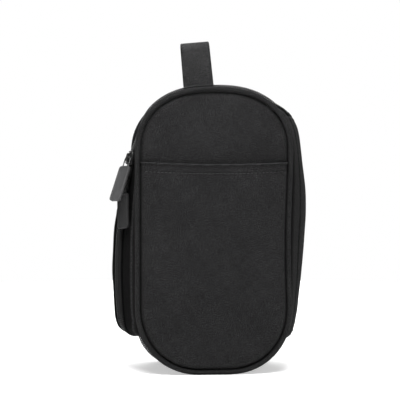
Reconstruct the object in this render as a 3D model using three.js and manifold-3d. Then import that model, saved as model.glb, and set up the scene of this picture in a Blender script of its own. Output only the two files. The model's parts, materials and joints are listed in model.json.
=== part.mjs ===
// A hanging toiletry bag: a soft clamshell that stands on its base. The back half carries the
// hanging loop and both zip sliders. The front half is a lid with an outside slip pocket, and it
// swings on the fabric spine down the right side. A coil zip runs from the spine's upper knuckle
// over the top, down the left side and along the base to the lower knuckle.
//
// Millimetres. +Z is up, the front faces -Y, and the origin is on the base under the middle.

import * as THREE from 'three';
import Module from 'manifold-3d';
import { mergeVertices } from 'three/addons/utils/BufferGeometryUtils.js';

const wasm = await Module();
wasm.setup();

// ---------- Driving dimensions ----------

const HEIGHT = 240; // base to the top of the piping
const WIDTH = 133; // across the front panel, piping included
const DEPTH = 85; // between the two piped seams
const PIPING_R = 2.3;
const GAP = 0.3; // left between pieces that are sewn or that run on each other

// The outline is a rounded top and base, each a superellipse, joined by straight sides.
const TOP_RISE = 58;
const TOP_POWER = 2.3;
const BASE_RISE = 57;
const BASE_POWER = 2.1;
const BASE_FLAT = 12; // half of the straight stretch that the bag stands on
const WAIST = 2.8; // how far the right edge draws in
const WAIST_Z = 105;
const WAIST_SPAN = 65;

// Depths behind the front seam.
const ZIP_DEPTH = 25;
const WIDE_FROM = 38; // the side wall is widest from here
const WIDE_TO = 62; // to here

// The left wall swells to a wide arc at the zip.
const LEFT_REACH = 79.2; // the zip's furthest point from the middle
const LEFT_Z = 85; // and its height
const LEFT_R = 400;
const LEFT_HIGH = 192; // the arc fades into the top from here
const LEFT_FADE = 16;
const LEFT_LOW = 52; // and turns in under itself from here
const LEFT_TURN = 21;
const LEFT_SWELL = 4; // how much further out the wall is behind the zip

// The right wall is the spine that the lid turns on.
const SPINE_LOW = 33;
const SPINE_HIGH = 213;
const SPINE_BULGE = 18.5;
const SPINE_FALL = 9;
const SPINE_MIDDLE = 130;
const SPINE_SPAN = 85;
const KNUCKLE = 0.03; // share of the outline over which the bulge ends
const SEAM = 0.0015; // share of the outline left open beside the spine

const FABRIC = 1.2;
const LINING = 0.8;
const FOAM = 3;
const FRONT_CROWN = 3;
const BACK_CROWN = 4;

const POCKET_TOP = 175;
const POCKET_SLACK = 4.8; // how far the slip pocket stands off the panel
const MESH_TOP = 135;

const STRAP_WIDTH = 26;
const STRAP_LENGTH = 45;
const STRAP = 1.8;
const STRAP_LEAN = 5.4; // degrees, towards the left
const STRAP_X = -7.5;
const STRAP_DEPTH = 60;
const EYE_R = 4.5;

const LOWER_SLIDER_Z = 158;
const UPPER_SLIDER_Z = 180;
const WIRE = 1.1;
const LINK_HALF = 3.75;
const LINK_LENGTH = 10;
const TAB_WIDTH = 12;
const TAB_LENGTH = 29.8;
const TAB = 2.8;

const FRONT = -DEPTH / 2;
const BACK = DEPTH / 2;
const SIDE = WIDTH / 2 - PIPING_R;
const SHOULDER = HEIGHT - TOP_RISE;
const QUARTER = Math.PI / 2;

// ---------- Materials ----------

const FINISHES = {
  shell_fabric: { color: 0x2e2e2f, roughness: 0.9 },
  piping: { color: 0x2b2b2c, roughness: 0.85 },
  lining: { color: 0x3a3a3c, roughness: 0.8 },
  foam: { color: 0xb9b9b4, roughness: 1 },
  zipper_tape: { color: 0x1d1d1e, roughness: 0.9 },
  zipper_coil: { color: 0x262627, roughness: 0.45 },
  slider_metal: { color: 0x1f1f20, roughness: 0.35, metalness: 0.6 },
  pull_wire: { color: 0x2a2a2b, roughness: 0.35, metalness: 0.7 },
  pull_rubber: { color: 0x4a4a4b, roughness: 0.6 },
  webbing: { color: 0x343435, roughness: 0.9 },
  mesh: { color: 0x232324, roughness: 0.9 },
  elastic: { color: 0x1f1f20, roughness: 0.8 },
  binding: { color: 0x28282a, roughness: 0.85 },
};

const bag = new THREE.Group();

function add(name, geometry, finish, parent = bag) {
  const mesh = new THREE.Mesh(geometry, new THREE.MeshStandardMaterial(FINISHES[finish]));
  mesh.name = name;
  parent.add(mesh);
  return mesh;
}

// ---------- Small maths ----------

function clamp(value) {
  return Math.min(1, Math.max(0, value));
}

function smooth(low, high, value) {
  const t = clamp((value - low) / (high - low));
  return t * t * (3 - 2 * t);
}

function mix(a, b, t) {
  return a + (b - a) * t;
}

// Evenly spaced values from one end to the other, both included.
function stretch(from, to, count) {
  return Array.from({ length: count }, (_, i) => mix(from, to, i / (count - 1)));
}

// A cubic with the given ends and end slopes.
function hermite(from, to, fromSlope, toSlope, span, t) {
  const rise = t * t * (3 - 2 * t);
  const lead = t * (1 - t) * (1 - t) * fromSlope * span;
  const trail = t * t * (1 - t) * toSlope * span;
  return mix(from, to, rise) + lead - trail;
}

// ---------- Outline ----------

// A point of the seam line, or of a line inset from it. side is -1 for left and 1 for right, and
// q runs from 0 on the base to 1 at the crown: a third base, a third straight side, a third top.
function seamPoint(side, q, inset = 0) {
  const half = SIDE - inset;
  let x = half;
  let z = mix(BASE_RISE, SHOULDER, 3 * q - 1);
  if (q < 1 / 3) {
    const turn = (1 - 3 * q) * QUARTER;
    x = BASE_FLAT + (half - BASE_FLAT) * Math.max(0, Math.cos(turn)) ** (2 / BASE_POWER);
    z = BASE_RISE - (BASE_RISE - PIPING_R - inset) * Math.sin(turn) ** (2 / BASE_POWER);
  }
  if (q > 2 / 3) {
    const turn = (3 * q - 2) * QUARTER;
    x = half * Math.max(0, Math.cos(turn)) ** (2 / TOP_POWER);
    z = SHOULDER + (TOP_RISE - PIPING_R - inset) * Math.sin(turn) ** (2 / TOP_POWER);
  }
  if (side > 0) x -= WAIST * Math.exp(-(((z - WAIST_Z) / WAIST_SPAN) ** 2)) * (x / half);
  return { x: side * x, z };
}

// The q at which the seam line reaches a height.
function qAt(z) {
  if (z < BASE_RISE) {
    const sine = ((BASE_RISE - z) / (BASE_RISE - PIPING_R)) ** (BASE_POWER / 2);
    return (1 - Math.asin(sine) / QUARTER) / 3;
  }
  if (z > SHOULDER) {
    const sine = ((z - SHOULDER) / (TOP_RISE - PIPING_R)) ** (TOP_POWER / 2);
    return (2 + Math.asin(sine) / QUARTER) / 3;
  }
  return (1 + (z - BASE_RISE) / (SHOULDER - BASE_RISE)) / 3;
}

// The direction out of the outline, square to it.
function outward(side, q) {
  const step = 0.0005;
  const low = seamPoint(side, Math.max(0, q - step));
  const high = seamPoint(side, Math.min(1, q + step));
  const length = Math.hypot(high.x - low.x, high.z - low.z);
  return { x: (side * (high.z - low.z)) / length, z: (-side * (high.x - low.x)) / length };
}

const Q_LOW = qAt(SPINE_LOW);
const Q_HIGH = qAt(SPINE_HIGH);

// How much of the left arc or of the right bulge a place has, from 0 to 1.
// turnZ is where the left arc starts to turn in at the bottom.
function swellAt(side, q, z, turnZ) {
  if (side > 0) return 1 - smooth(0, KNUCKLE, Math.max(Q_LOW - q, q - Q_HIGH));
  if (z > turnZ) return 1 - smooth(LEFT_HIGH, LEFT_HIGH + LEFT_FADE, z);
  return Math.sqrt(clamp(1 - ((turnZ - z) / LEFT_TURN) ** 4));
}

// ---------- Side wall ----------

// One place round the outline: its seam point, the direction that the wall swells in, and what
// the wall's profile does there. zip is how far out the zip lies from the seam, with its slope,
// wide how far out the widest band lies, and start the slope at the front seam.
function station(side, q, turnZ = LEFT_LOW) {
  const { x, z } = seamPoint(side, q);
  const swell = swellAt(side, q, z, turnZ);
  const square = outward(side, q);
  const out = new THREE.Vector2(square.x, square.z).lerp(new THREE.Vector2(side, 0), swell).normalize();
  const base = 1 - smooth(0, 0.12, q);
  const rest = { zip: base - 1, wide: base * (PIPING_R + 1) - 1 };
  if (side > 0) {
    const bulge = SPINE_BULGE - SPINE_FALL * clamp(Math.abs(z - SPINE_MIDDLE) / SPINE_SPAN) ** 1.5;
    const zip = mix(rest.zip, 0.9 * bulge, swell);
    const wide = mix(rest.wide, bulge, swell);
    return { x, z, out, zip, wide, slope: 0.25 * swell, start: 0.75 * clamp(zip / 16.6) };
  }
  const arc = LEFT_REACH - LEFT_R + Math.sqrt(LEFT_R ** 2 - (z - LEFT_Z) ** 2);
  const zip = mix(rest.zip, arc - Math.abs(x), swell);
  const wide = Math.max(rest.wide, zip + LEFT_SWELL * smooth(0, 14, zip));
  const slope = 0.9 * (1 - smooth(184, 212, z)) * smooth(33, 46, z);
  return { x, z, out, zip, wide, slope, start: 0.2 * clamp(zip / 15) };
}

// How far out the wall's face lies at a depth behind the front seam.
function profile(place, depth) {
  const { zip, wide, slope, start } = place;
  if (depth < ZIP_DEPTH) return hermite(0, zip, start, slope, ZIP_DEPTH, depth / ZIP_DEPTH);
  if (depth < WIDE_FROM) {
    const span = WIDE_FROM - ZIP_DEPTH;
    return hermite(zip, wide, slope, 0, span, (depth - ZIP_DEPTH) / span);
  }
  if (depth < WIDE_TO) return wide;
  const span = DEPTH - WIDE_TO;
  return hermite(wide, 0, 0, (-1.5 * wide) / span, span, (depth - WIDE_TO) / span);
}

// A point at a depth behind the front seam, and inside the wall's face by inset.
function wallPoint(place, depth, inset) {
  const step = 0.05;
  const rise = (profile(place, depth + step) - profile(place, depth - step)) / (2 * step);
  const length = Math.hypot(1, rise);
  const reach = profile(place, depth) - inset / length;
  const y = FRONT + depth + (inset * rise) / length;
  return new THREE.Vector3(place.x + place.out.x * reach, y, place.z + place.out.y * reach);
}

// ---------- Places round the outline ----------

const places = (side, list, turnZ) => list.map((q) => station(side, q, turnZ));

const spinePlaces = places(1, stretch(Q_LOW, Q_HIGH, 13));
const knuckleSteps = stretch(0, KNUCKLE, 6).slice(1);
const topRight = [...knuckleSteps.map((step) => Q_HIGH + step), ...stretch(Q_HIGH + KNUCKLE, 1, 7).slice(1)];
const baseRight = [...stretch(0, Q_LOW - KNUCKLE, 6), ...knuckleSteps.map((step) => Q_LOW - step).reverse().slice(1)];
const turnSteps = stretch(0, QUARTER, 7).slice(1);
const leftHeights = [
  ...stretch(LEFT_HIGH + LEFT_FADE, SHOULDER, 6),
  ...stretch(SHOULDER, LEFT_LOW, 12).slice(1),
  ...turnSteps.map((turn) => LEFT_LOW - LEFT_TURN * Math.sin(turn)),
];
const leftList = [
  ...stretch(1, qAt(LEFT_HIGH + LEFT_FADE), 6).slice(1, -1),
  ...leftHeights.map(qAt),
  ...stretch(qAt(LEFT_LOW - LEFT_TURN), 0, 7).slice(1),
];

// The zip's run, knuckle to knuckle, and the whole way round. What lies inside the wall turns in
// sooner at the bottom of the left arc.
const chainPlaces = [...places(1, topRight.slice(1)), ...places(-1, leftList), ...places(1, baseRight.slice(0, -1))];
const runPlaces = [
  ...places(1, [Q_HIGH + SEAM, topRight[0]]),
  ...chainPlaces,
  ...places(1, [baseRight.at(-1), Q_LOW - SEAM]),
];
const roundPlaces = (inside) => [
  ...spinePlaces,
  ...places(1, topRight),
  ...places(-1, leftList, LEFT_LOW + inside),
  ...places(1, baseRight),
];

// ---------- Solids ----------

// A closed body through a row of loops. In each loop, point i faces point n - 1 - i across it.
function skin(loops, closed = false) {
  const count = loops[0].length;
  const positions = loops.flat().flatMap((point) => point.toArray());
  const faces = [];
  const steps = closed ? loops.length : loops.length - 1;
  for (let row = 0; row < steps; row += 1) {
    const here = row * count;
    const next = ((row + 1) % loops.length) * count;
    for (let i = 0; i < count; i += 1) {
      const j = (i + 1) % count;
      faces.push([here + i, here + j, next + j], [here + i, next + j, next + i]);
    }
  }
  const last = (loops.length - 1) * count;
  for (let i = 0; i < count / 2 - 1 && !closed; i += 1) {
    const far = count - 1 - i;
    faces.push([i, far, far - 1], [i, far - 1, i + 1]);
    faces.push([last + i, last + i + 1, last + far - 1], [last + i, last + far - 1, last + far]);
  }
  const geometry = new THREE.BufferGeometry();
  geometry.setAttribute('position', new THREE.Float32BufferAttribute(positions, 3));
  const inside = volume(positions, faces) < 0;
  geometry.setIndex((inside ? faces.map(([a, b, c]) => [a, c, b]) : faces).flat());
  geometry.computeVertexNormals();
  return geometry;
}

function volume(positions, faces) {
  const point = (index) => new THREE.Vector3().fromArray(positions, 3 * index);
  return faces.reduce((sum, [a, b, c]) => sum + point(a).dot(point(b).cross(point(c))), 0);
}

// A band of the side wall: its depths, and its outer and inner face.
function band(row, depths, outer, inner, closed = false) {
  const loop = (place) => [
    ...depths.map((depth) => wallPoint(place, depth, outer)),
    ...[...depths].reverse().map((depth) => wallPoint(place, depth, inner)),
  ];
  return skin(row.map(loop), closed);
}

// A round cord on a piped seam, an octagon in section.
function pipingRing(y) {
  const corner = PIPING_R / Math.cos(Math.PI / 8);
  const loop = ([side, q]) => {
    const { x, z } = seamPoint(side, q);
    const out = outward(side, q);
    return Array.from({ length: 8 }, (_, i) => {
      const turn = ((i + 0.5) * Math.PI) / 4;
      const reach = corner * Math.cos(turn);
      return new THREE.Vector3(x + out.x * reach, y + corner * Math.sin(turn), z + out.z * reach);
    });
  };
  const rising = panelRows(1).map((q) => [1, q]);
  const falling = panelRows(1).reverse().slice(1).map((q) => [-1, q]);
  return skin([...rising, ...falling].map(loop), true);
}

// The q of each row of a panel, up to the last one.
function panelRows(last) {
  const all = [...stretch(0, 1 / 3, 7), ...stretch(1 / 3, 2 / 3, 4).slice(1), ...stretch(2 / 3, 1, 8).slice(1)];
  return [...all.filter((q) => q < last - 0.008), last];
}

const PANEL_COLUMNS = [-1, -0.9, -0.65, 0, 0.65, 0.9, 1];
const PANEL_LAST = 0.985;

// How much of its crown a panel has at a place: none at the edge, all of it inside.
function crownAt(across, z) {
  const up = (2 * z - HEIGHT) / (HEIGHT - 2 * PIPING_R);
  return Math.min(1, 1.25 * (1 - across ** 6) * clamp(1 - up ** 6));
}

// A panel inside the seam line. nearY and farY give its two faces from (across, z).
function panel(inset, rows, nearY, farY) {
  const loop = (q) => {
    const point = (across, face) => {
      const edge = seamPoint(across < 0 ? -1 : 1, q, inset);
      return new THREE.Vector3(edge.x * Math.abs(across), face(across, edge.z), edge.z);
    };
    return [
      ...PANEL_COLUMNS.map((across) => point(across, nearY)),
      ...[...PANEL_COLUMNS].reverse().map((across) => point(across, farY)),
    ];
  };
  return skin(rows.map(loop));
}

// A panel that follows the crown of the front or back, a given way in from the outer face.
function frontLayer(inset, depth, thickness, rows = panelRows(PANEL_LAST)) {
  const face = (extra) => (across, z) => FRONT + depth + extra - FRONT_CROWN * crownAt(across, z);
  return panel(inset, rows, face(0), face(thickness));
}

function backLayer(inset, depth, thickness) {
  const face = (extra) => (across, z) => BACK - depth - extra + BACK_CROWN * crownAt(across, z);
  return panel(inset, panelRows(PANEL_LAST), face(thickness), face(0));
}

// three.js geometry as a manifold solid, and back.
function solid(geometry) {
  const bare = geometry.index ? geometry.toNonIndexed() : geometry.clone();
  bare.deleteAttribute('normal');
  bare.deleteAttribute('uv');
  const merged = mergeVertices(bare, 1e-4);
  const vertProperties = new Float32Array(merged.attributes.position.array);
  const triVerts = new Uint32Array(merged.index.array);
  return new wasm.Manifold(new wasm.Mesh({ numProp: 3, vertProperties, triVerts }));
}

function fromSolid(manifold) {
  const mesh = manifold.getMesh();
  const geometry = new THREE.BufferGeometry();
  geometry.setAttribute('position', new THREE.BufferAttribute(mesh.vertProperties, 3));
  geometry.setIndex(new THREE.BufferAttribute(mesh.triVerts, 1));
  geometry.computeVertexNormals();
  return geometry;
}

// A box from its lowest and highest corners.
function block(low, high) {
  const size = high.map((value, axis) => value - low[axis]);
  const geometry = new THREE.BoxGeometry(...size);
  return geometry.translate(...high.map((value, axis) => (value + low[axis]) / 2));
}

function union(geometries) {
  return fromSolid(geometries.map(solid).reduce((whole, piece) => whole.add(piece)));
}

// A rounded rectangle about x = 0, between two heights.
function roundedRectangle(half, low, high, radius, path = new THREE.Shape()) {
  path.moveTo(-half + radius, low);
  path.lineTo(half - radius, low);
  path.absarc(half - radius, low + radius, radius, -QUARTER, 0, false);
  path.lineTo(half, high - radius);
  path.absarc(half - radius, high - radius, radius, 0, QUARTER, false);
  path.lineTo(-half + radius, high);
  path.absarc(-half + radius, high - radius, radius, QUARTER, 2 * QUARTER, false);
  path.lineTo(-half, low + radius);
  path.absarc(-half + radius, low + radius, radius, 2 * QUARTER, 3 * QUARTER, false);
  return path;
}

// An upright plate in the x-z plane, its thickness centred on y = 0.
function plate(shape, thickness) {
  const geometry = new THREE.ExtrudeGeometry(shape, { depth: thickness, bevelEnabled: false, curveSegments: 4 });
  return geometry.translate(0, 0, -thickness / 2).rotateX(QUARTER);
}

// ---------- Front and back panels ----------

function addPanels() {
  add('front_panel', frontLayer(PIPING_R + 0.4, 0, FABRIC), 'shell_fabric');
  add('front_foam', frontLayer(3.6, FABRIC + GAP, FOAM), 'foam');
  add('front_lining_floor', frontLayer(4.2, FABRIC + FOAM + 2 * GAP, LINING), 'lining');
  add('back_panel', backLayer(PIPING_R + 0.4, 0, FABRIC), 'shell_fabric');
  add('back_foam', backLayer(3.6, FABRIC + GAP, FOAM), 'foam');
  add('back_lining_floor', backLayer(4.2, FABRIC + FOAM + 2 * GAP, LINING), 'lining');
  add('front_piping', pipingRing(FRONT), 'piping');
  add('back_piping', pipingRing(BACK), 'piping');
}

// The slip pocket lies on the front panel at its edges and stands off it in the middle.
function addFrontPocket() {
  const lift = (across, z) => POCKET_SLACK * (1 - across ** 4) * smooth(15, 90, z);
  const face = (extra) => (across, z) =>
    FRONT - FRONT_CROWN * crownAt(across, z) - GAP - 0.05 - lift(across, z) - extra;
  const rows = panelRows(qAt(POCKET_TOP));
  add('front_pocket', panel(PIPING_R + 0.4, rows, face(FABRIC), face(0)), 'shell_fabric');
}

// ---------- Side walls ----------

function addWalls() {
  add('front_gusset', band(runPlaces, [2.7, 8, 13.2], 0, FABRIC), 'shell_fabric');
  add('back_gusset', band(runPlaces, [36.8, 38, 62, 72, 82.3], 0, FABRIC), 'shell_fabric');
  add('spine_front', band(spinePlaces, [2.7, 8, 16, 24.7], 0, FABRIC), 'shell_fabric');
  add('spine_back', band(spinePlaces, [25.3, 38, 62, 72, 82.3], 0, FABRIC), 'shell_fabric');
  add('front_lining_wall', band(roundPlaces(4), [6.3, 13.1], 1.8, 2.6, true), 'lining');
  add('back_lining_wall', band(roundPlaces(4), [32, 38, 62, 72, 79], 1.8, 2.6, true), 'lining');
  add('front_binding', band(roundPlaces(9), [6.4, 9.2], 2.9, 4, true), 'binding');
  add('back_binding', band(roundPlaces(9), [75.8, 78.8], 2.9, 4, true), 'binding');
}

// ---------- Zip ----------

function addZip() {
  add('zipper_tape_front', band(runPlaces, [13.5, 21.6], 0.1, 0.9), 'zipper_tape');
  add('zipper_tape_back', band(runPlaces, [28.4, 32, 36.5], 0.1, 0.9), 'zipper_tape');
  add('zipper_coil_front', band(chainPlaces, [21.9, 24.3], -1.4, 1.4), 'zipper_coil');
  add('zipper_coil_back', band(chainPlaces, [25.7, 28.1], -1.4, 1.4), 'zipper_coil');
  const upperStop = places(1, [Q_HIGH + 0.003, Q_HIGH + 0.01]);
  const lowerStop = places(1, [Q_LOW - 0.01, Q_LOW - 0.003]);
  add('zip_stop_upper', band(upperStop, [22, 28], -1.6, 1.6), 'zipper_coil');
  add('zip_stop_lower', band(lowerStop, [22, 28], -1.6, 1.6), 'zipper_coil');
}

// A frame on the left arc: x across the chain to the back, y out of the chain, z up along it.
function sliderFrame(height, roll) {
  const sine = (height - LEFT_Z) / LEFT_R;
  const cosine = Math.sqrt(1 - sine * sine);
  const along = new THREE.Vector3(sine, 0, cosine);
  const radial = new THREE.Vector3(-cosine, 0, sine);
  const out = radial.multiplyScalar(Math.cos(roll)).add(new THREE.Vector3(0, -Math.sin(roll), 0));
  const frame = new THREE.Group();
  const basis = new THREE.Matrix4().makeBasis(out.clone().cross(along), out, along);
  frame.quaternion.setFromRotationMatrix(basis);
  const centre = LEFT_R - LEFT_REACH;
  frame.position.set(centre - LEFT_R * cosine, FRONT + ZIP_DEPTH, height);
  bag.add(frame);
  return frame;
}

const PIVOT_Y = 3.95; // the pull's wire turns here, over the slider's top plate

function sliderBody(noseUp) {
  const nose = noseUp ? 1 : -1;
  const post = [3.4 * nose, 5.2 * nose].sort((a, b) => a - b);
  return union([
    block([-4.2, 2, -6], [4.2, 2.9, 6]),
    block([-3.6, -3.2, -6], [3.6, -2.35, 6]),
    block([-0.4, -2.5, post[0]], [0.4, 2.2, post[1]]),
    block([-1, 2.7, -4.5], [1, 5.4, -3.4]),
    block([-1, 2.7, 3.4], [1, 5.4, 4.5]),
    block([-1, 5, -4.5], [1, 6, 4.5]),
  ]);
}

function linkRing() {
  const half = WIRE / 2;
  const ring = roundedRectangle(LINK_HALF, -LINK_LENGTH - half, half, 2);
  ring.holes.push(roundedRectangle(LINK_HALF - WIRE, -LINK_LENGTH + half, -half, 1, new THREE.Path()));
  return plate(ring, WIRE);
}

// The tab has a slot in its top for the link's wire, with a rib that keeps the wire in.
function pullTab() {
  const top = -LINK_LENGTH + 1.8;
  const outline = roundedRectangle(TAB_WIDTH / 2, top - TAB_LENGTH, top, 2.5);
  const whole = solid(plate(outline, TAB));
  const slot = solid(block([-4.1, -0.85, -LINK_LENGTH - 1], [4.1, 0.85, top + 1]));
  const rib = solid(block([-1.8, -1.1, -LINK_LENGTH + 1], [1.8, 1.1, top]));
  return fromSolid(whole.subtract(slot).add(rib));
}

// roll turns the slider to the wall's slope, swing lifts the pull off it and skew turns it aside.
function addSlider(name, height, roll, noseUp, swing, skew) {
  const radians = THREE.MathUtils.degToRad;
  const frame = sliderFrame(height, radians(roll));
  add(`slider_${name}`, sliderBody(noseUp), 'slider_metal', frame);
  const pull = new THREE.Group();
  pull.position.set(0, PIVOT_Y, 0);
  pull.rotation.set(radians(swing), radians(skew), 0);
  frame.add(pull);
  add(`pull_link_${name}`, linkRing(), 'pull_wire', pull);
  add(`pull_tab_${name}`, pullTab(), 'pull_rubber', pull);
}

// ---------- Hanging loop ----------

// A folded strap, sewn on a rounded foot and open above it. It is drawn in the y-z plane about
// the foot's centre and swept along x.
function addHangLoop() {
  const foot = STRAP + 0.1;
  const topR = EYE_R + STRAP;
  const topZ = STRAP_LENGTH - foot - topR;
  const side = Math.asin((topR - foot) / topZ); // the strap's two runs lean out by this
  const outline = new THREE.Shape();
  outline.absarc(0, 0, foot, 2 * QUARTER + side, 4 * QUARTER - side, false);
  outline.absarc(0, topZ, topR, -side, 2 * QUARTER + side, false);
  const eye = new THREE.Path();
  eye.moveTo(-0.9, 8);
  eye.lineTo(0.9, 8);
  eye.absarc(0, topZ, EYE_R, -side, 2 * QUARTER + side, false);
  outline.holes.push(eye);
  const strap = new THREE.ExtrudeGeometry(outline, { depth: STRAP_WIDTH, bevelEnabled: false, curveSegments: 10 });
  strap.translate(0, 0, -STRAP_WIDTH / 2);
  const sideways = new THREE.Matrix4().makeBasis(
    new THREE.Vector3(0, 1, 0),
    new THREE.Vector3(0, 0, 1),
    new THREE.Vector3(1, 0, 0),
  );
  const mesh = add('hang_loop', strap.applyMatrix4(sideways), 'webbing');
  mesh.position.set(STRAP_X, FRONT + STRAP_DEPTH, HEIGHT - PIPING_R - 1 + GAP + foot + 0.2);
  mesh.rotation.y = THREE.MathUtils.degToRad(-STRAP_LEAN);
}

// ---------- Inside the two halves ----------

function addMeshPocket() {
  const flat = (depth) => () => FRONT + depth;
  add('lid_mesh_pocket', panel(5.5, panelRows(qAt(MESH_TOP)), flat(10.2), flat(11)), 'mesh');
  const hem = stretch(qAt(MESH_TOP + 0.5), qAt(MESH_TOP + 7), 2);
  add('lid_mesh_binding', panel(5.5, hem, flat(9.7), flat(11.5)), 'elastic');
}

// Three elastic loops in one band, sewn down between them, on the back half's lining.
function addElasticLoops() {
  const reach = 36;
  const tail = 3;
  const arch = 11;
  const wave = (x) => (Math.abs(x) > reach ? 0 : (arch / 2) * (1 - Math.cos((3 * Math.PI * (x + reach)) / reach)));
  const xs = [-reach - tail, ...stretch(-reach, reach, 31), reach + tail];
  const foot = FRONT + 82.9;
  const near = xs.map((x) => new THREE.Vector2(x, foot - wave(x)));
  const far = [...xs].reverse().map((x) => new THREE.Vector2(x, foot - FABRIC - wave(x)));
  const ribbon = new THREE.ExtrudeGeometry(new THREE.Shape([...near, ...far]), { depth: 25, bevelEnabled: false });
  add('elastic_loops', ribbon.translate(0, 0, 105), 'elastic');
}

addPanels();
addFrontPocket();
addWalls();
addZip();
addSlider('upper', UPPER_SLIDER_Z, 37.5, false, 12, 10);
addSlider('lower', LOWER_SLIDER_Z, 41.5, true, 0, 16);
addHangLoop();
addMeshPocket();
addElasticLoops();

export default bag;
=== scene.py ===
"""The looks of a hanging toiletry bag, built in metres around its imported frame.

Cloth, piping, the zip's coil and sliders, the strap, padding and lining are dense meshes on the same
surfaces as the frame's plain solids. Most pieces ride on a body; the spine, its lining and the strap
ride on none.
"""

import json
import math

import bmesh
import bpy
import numpy as np
from mathutils import Matrix, Vector


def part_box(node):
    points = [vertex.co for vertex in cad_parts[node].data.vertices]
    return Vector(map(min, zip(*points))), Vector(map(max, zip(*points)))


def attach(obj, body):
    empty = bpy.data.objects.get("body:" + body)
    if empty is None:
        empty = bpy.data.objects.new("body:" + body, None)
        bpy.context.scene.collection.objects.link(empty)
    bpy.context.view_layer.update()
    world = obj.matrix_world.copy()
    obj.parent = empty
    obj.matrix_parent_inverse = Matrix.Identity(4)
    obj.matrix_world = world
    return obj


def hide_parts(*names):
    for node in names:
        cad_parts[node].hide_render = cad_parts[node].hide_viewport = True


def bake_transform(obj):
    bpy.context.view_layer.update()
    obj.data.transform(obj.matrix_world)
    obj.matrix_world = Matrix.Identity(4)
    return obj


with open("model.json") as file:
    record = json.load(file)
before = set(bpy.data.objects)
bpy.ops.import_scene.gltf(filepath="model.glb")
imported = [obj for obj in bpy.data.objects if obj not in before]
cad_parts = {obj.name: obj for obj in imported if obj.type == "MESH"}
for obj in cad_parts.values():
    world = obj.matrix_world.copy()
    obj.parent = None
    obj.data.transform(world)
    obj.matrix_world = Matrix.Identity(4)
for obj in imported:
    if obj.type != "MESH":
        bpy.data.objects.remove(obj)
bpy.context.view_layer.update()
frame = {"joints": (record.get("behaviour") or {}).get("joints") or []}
joints = {joint["name"]: joint for joint in frame["joints"]}

# ---------- Dimensions ----------

MM = 0.001
QUARTER = math.pi / 2

piping_low, piping_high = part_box("front_piping")
FRONT = (piping_low.y + piping_high.y) / 2
BACK = sum(corner.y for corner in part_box("back_piping")) / 2
PIPING_R = (piping_high.y - piping_low.y) / 2
HEIGHT = piping_high.z
DEPTH = BACK - FRONT
SIDE = -piping_low.x - PIPING_R

TOP_RISE = 57.3 * MM  # the height of the curve over the shoulders
TOP_POWER = 2.4  # 2 would make it a part of an ellipse, and more makes it squarer
BASE_RISE = 57 * MM
BASE_POWER = 2.1
BASE_FLAT = 12 * MM  # half of the flat that the bag stands on
Q_FLAT = 0.047  # the flat's half, on the outline's own scale
WAIST = 2.8 * MM  # how far the right side is drawn in
WAIST_Z = 105 * MM
WAIST_SPAN = 65 * MM
SHOULDER = HEIGHT - 58 * MM

ZIP_DEPTH = 25 * MM
WIDE_FROM = 38 * MM  # the back half is widest between these depths
WIDE_TO = 62 * MM

ARC_CENTRE = Vector(joints["slider_lower_run"]["pos_m"])
LEFT_REACH = 79.2 * MM
LEFT_R = ARC_CENTRE.x + LEFT_REACH
LEFT_Z = ARC_CENTRE.z
LEFT_HIGH = 187 * MM  # the zip leaves the sliders' arc here, over the fade's height
LEFT_FADE = 15 * MM
LEFT_LOW = 53 * MM  # and here, in a turn this high
LEFT_TURN = 21 * MM
LEFT_SWELL = 4 * MM  # how far the back half stands out past the zip

SPINE_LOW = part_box("spine_back")[0].z
SPINE_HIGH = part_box("spine_back")[1].z
SPINE_BULGE = 18.5 * MM
SPINE_FALL = 9 * MM
# How far the spine's fabric swells past the frame's solid, as (height, swelling) in mm
SPINE_BELLY = (
    (30, 2.4), (44, 1.7), (56, 1.0), (74, 1.9), (106, 2.1), (130, 2.7),
    (153, 2.4), (183, 0.9), (195, 0.8), (207, 3.6), (215, 5.2),
)
# How far the fabric swells at the zip round the top and base, as (q, swelling in mm). q counts up
# the outline from the base at 0 to the crown at 1, and the straight sides run from 1/3 to 2/3.
LEFT_PILLOW = (
    (0, 0), (0.08, 1), (0.14, 4), (0.185, 4.6), (0.23, 4.2), (0.27, 1), (0.3, 0),
    (0.72, 0), (0.81, 3.0), (0.93, 4.8), (1, 5.2),
)
RIGHT_PILLOW = ((0, 0), (0.7, 0), (0.76, 7), (0.82, 7.2), (0.93, 6.2), (1, 5.2))
SPINE_MIDDLE = 130 * MM
SPINE_SPAN = 85 * MM
KNUCKLE = 0.05  # how much of q each end of the spine takes to flatten out

FRONT_CROWN = 3 * MM
BACK_CROWN = 4 * MM
POCKET_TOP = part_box("front_pocket")[1].z
POCKET_SLACK = 4.8 * MM
MESH_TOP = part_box("lid_mesh_pocket")[1].z

TOOTH_PITCH = 1.6 * MM
PIVOT_OUT = 3.95 * MM  # the pull's wire turns this far out of the chain
WIRE_R = 0.55 * MM
LINK_LENGTH = 10 * MM
TAB_LENGTH = 29.8 * MM
TAB_HALF = 6 * MM

STRAP_WIDTH = 26 * MM
STRAP_LENGTH = 45 * MM
STRAP = 1.8 * MM
STRAP_LEAN = math.radians(5.4)
EYE_R = 4.5 * MM


# ---------- Small maths ----------


def smooth(low, high, value):
    t = np.clip((np.asarray(value, float) - low) / (high - low), 0, 1)
    return t * t * (3 - 2 * t)


def mix(a, b, t):
    return a + (b - a) * t


def hermite(start, end, start_slope, end_slope, span, t):
    lead = t * (1 - t) ** 2 * start_slope * span
    trail = t * t * (1 - t) * end_slope * span
    return mix(start, end, t * t * (3 - 2 * t)) + lead - trail


def along_knots(value, knots, blur):
    """The lengths given in mm at knots, joined in a smooth curve."""
    places, lengths = zip(*knots)
    shifts = np.linspace(-blur, blur, 5)
    return sum(np.interp(value + shift, places, lengths) for shift in shifts) / 5 * MM


def arch(share):
    """0 at both ends and 1 halfway."""
    return np.sin(math.pi * np.clip(share, 0, 1))


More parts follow.
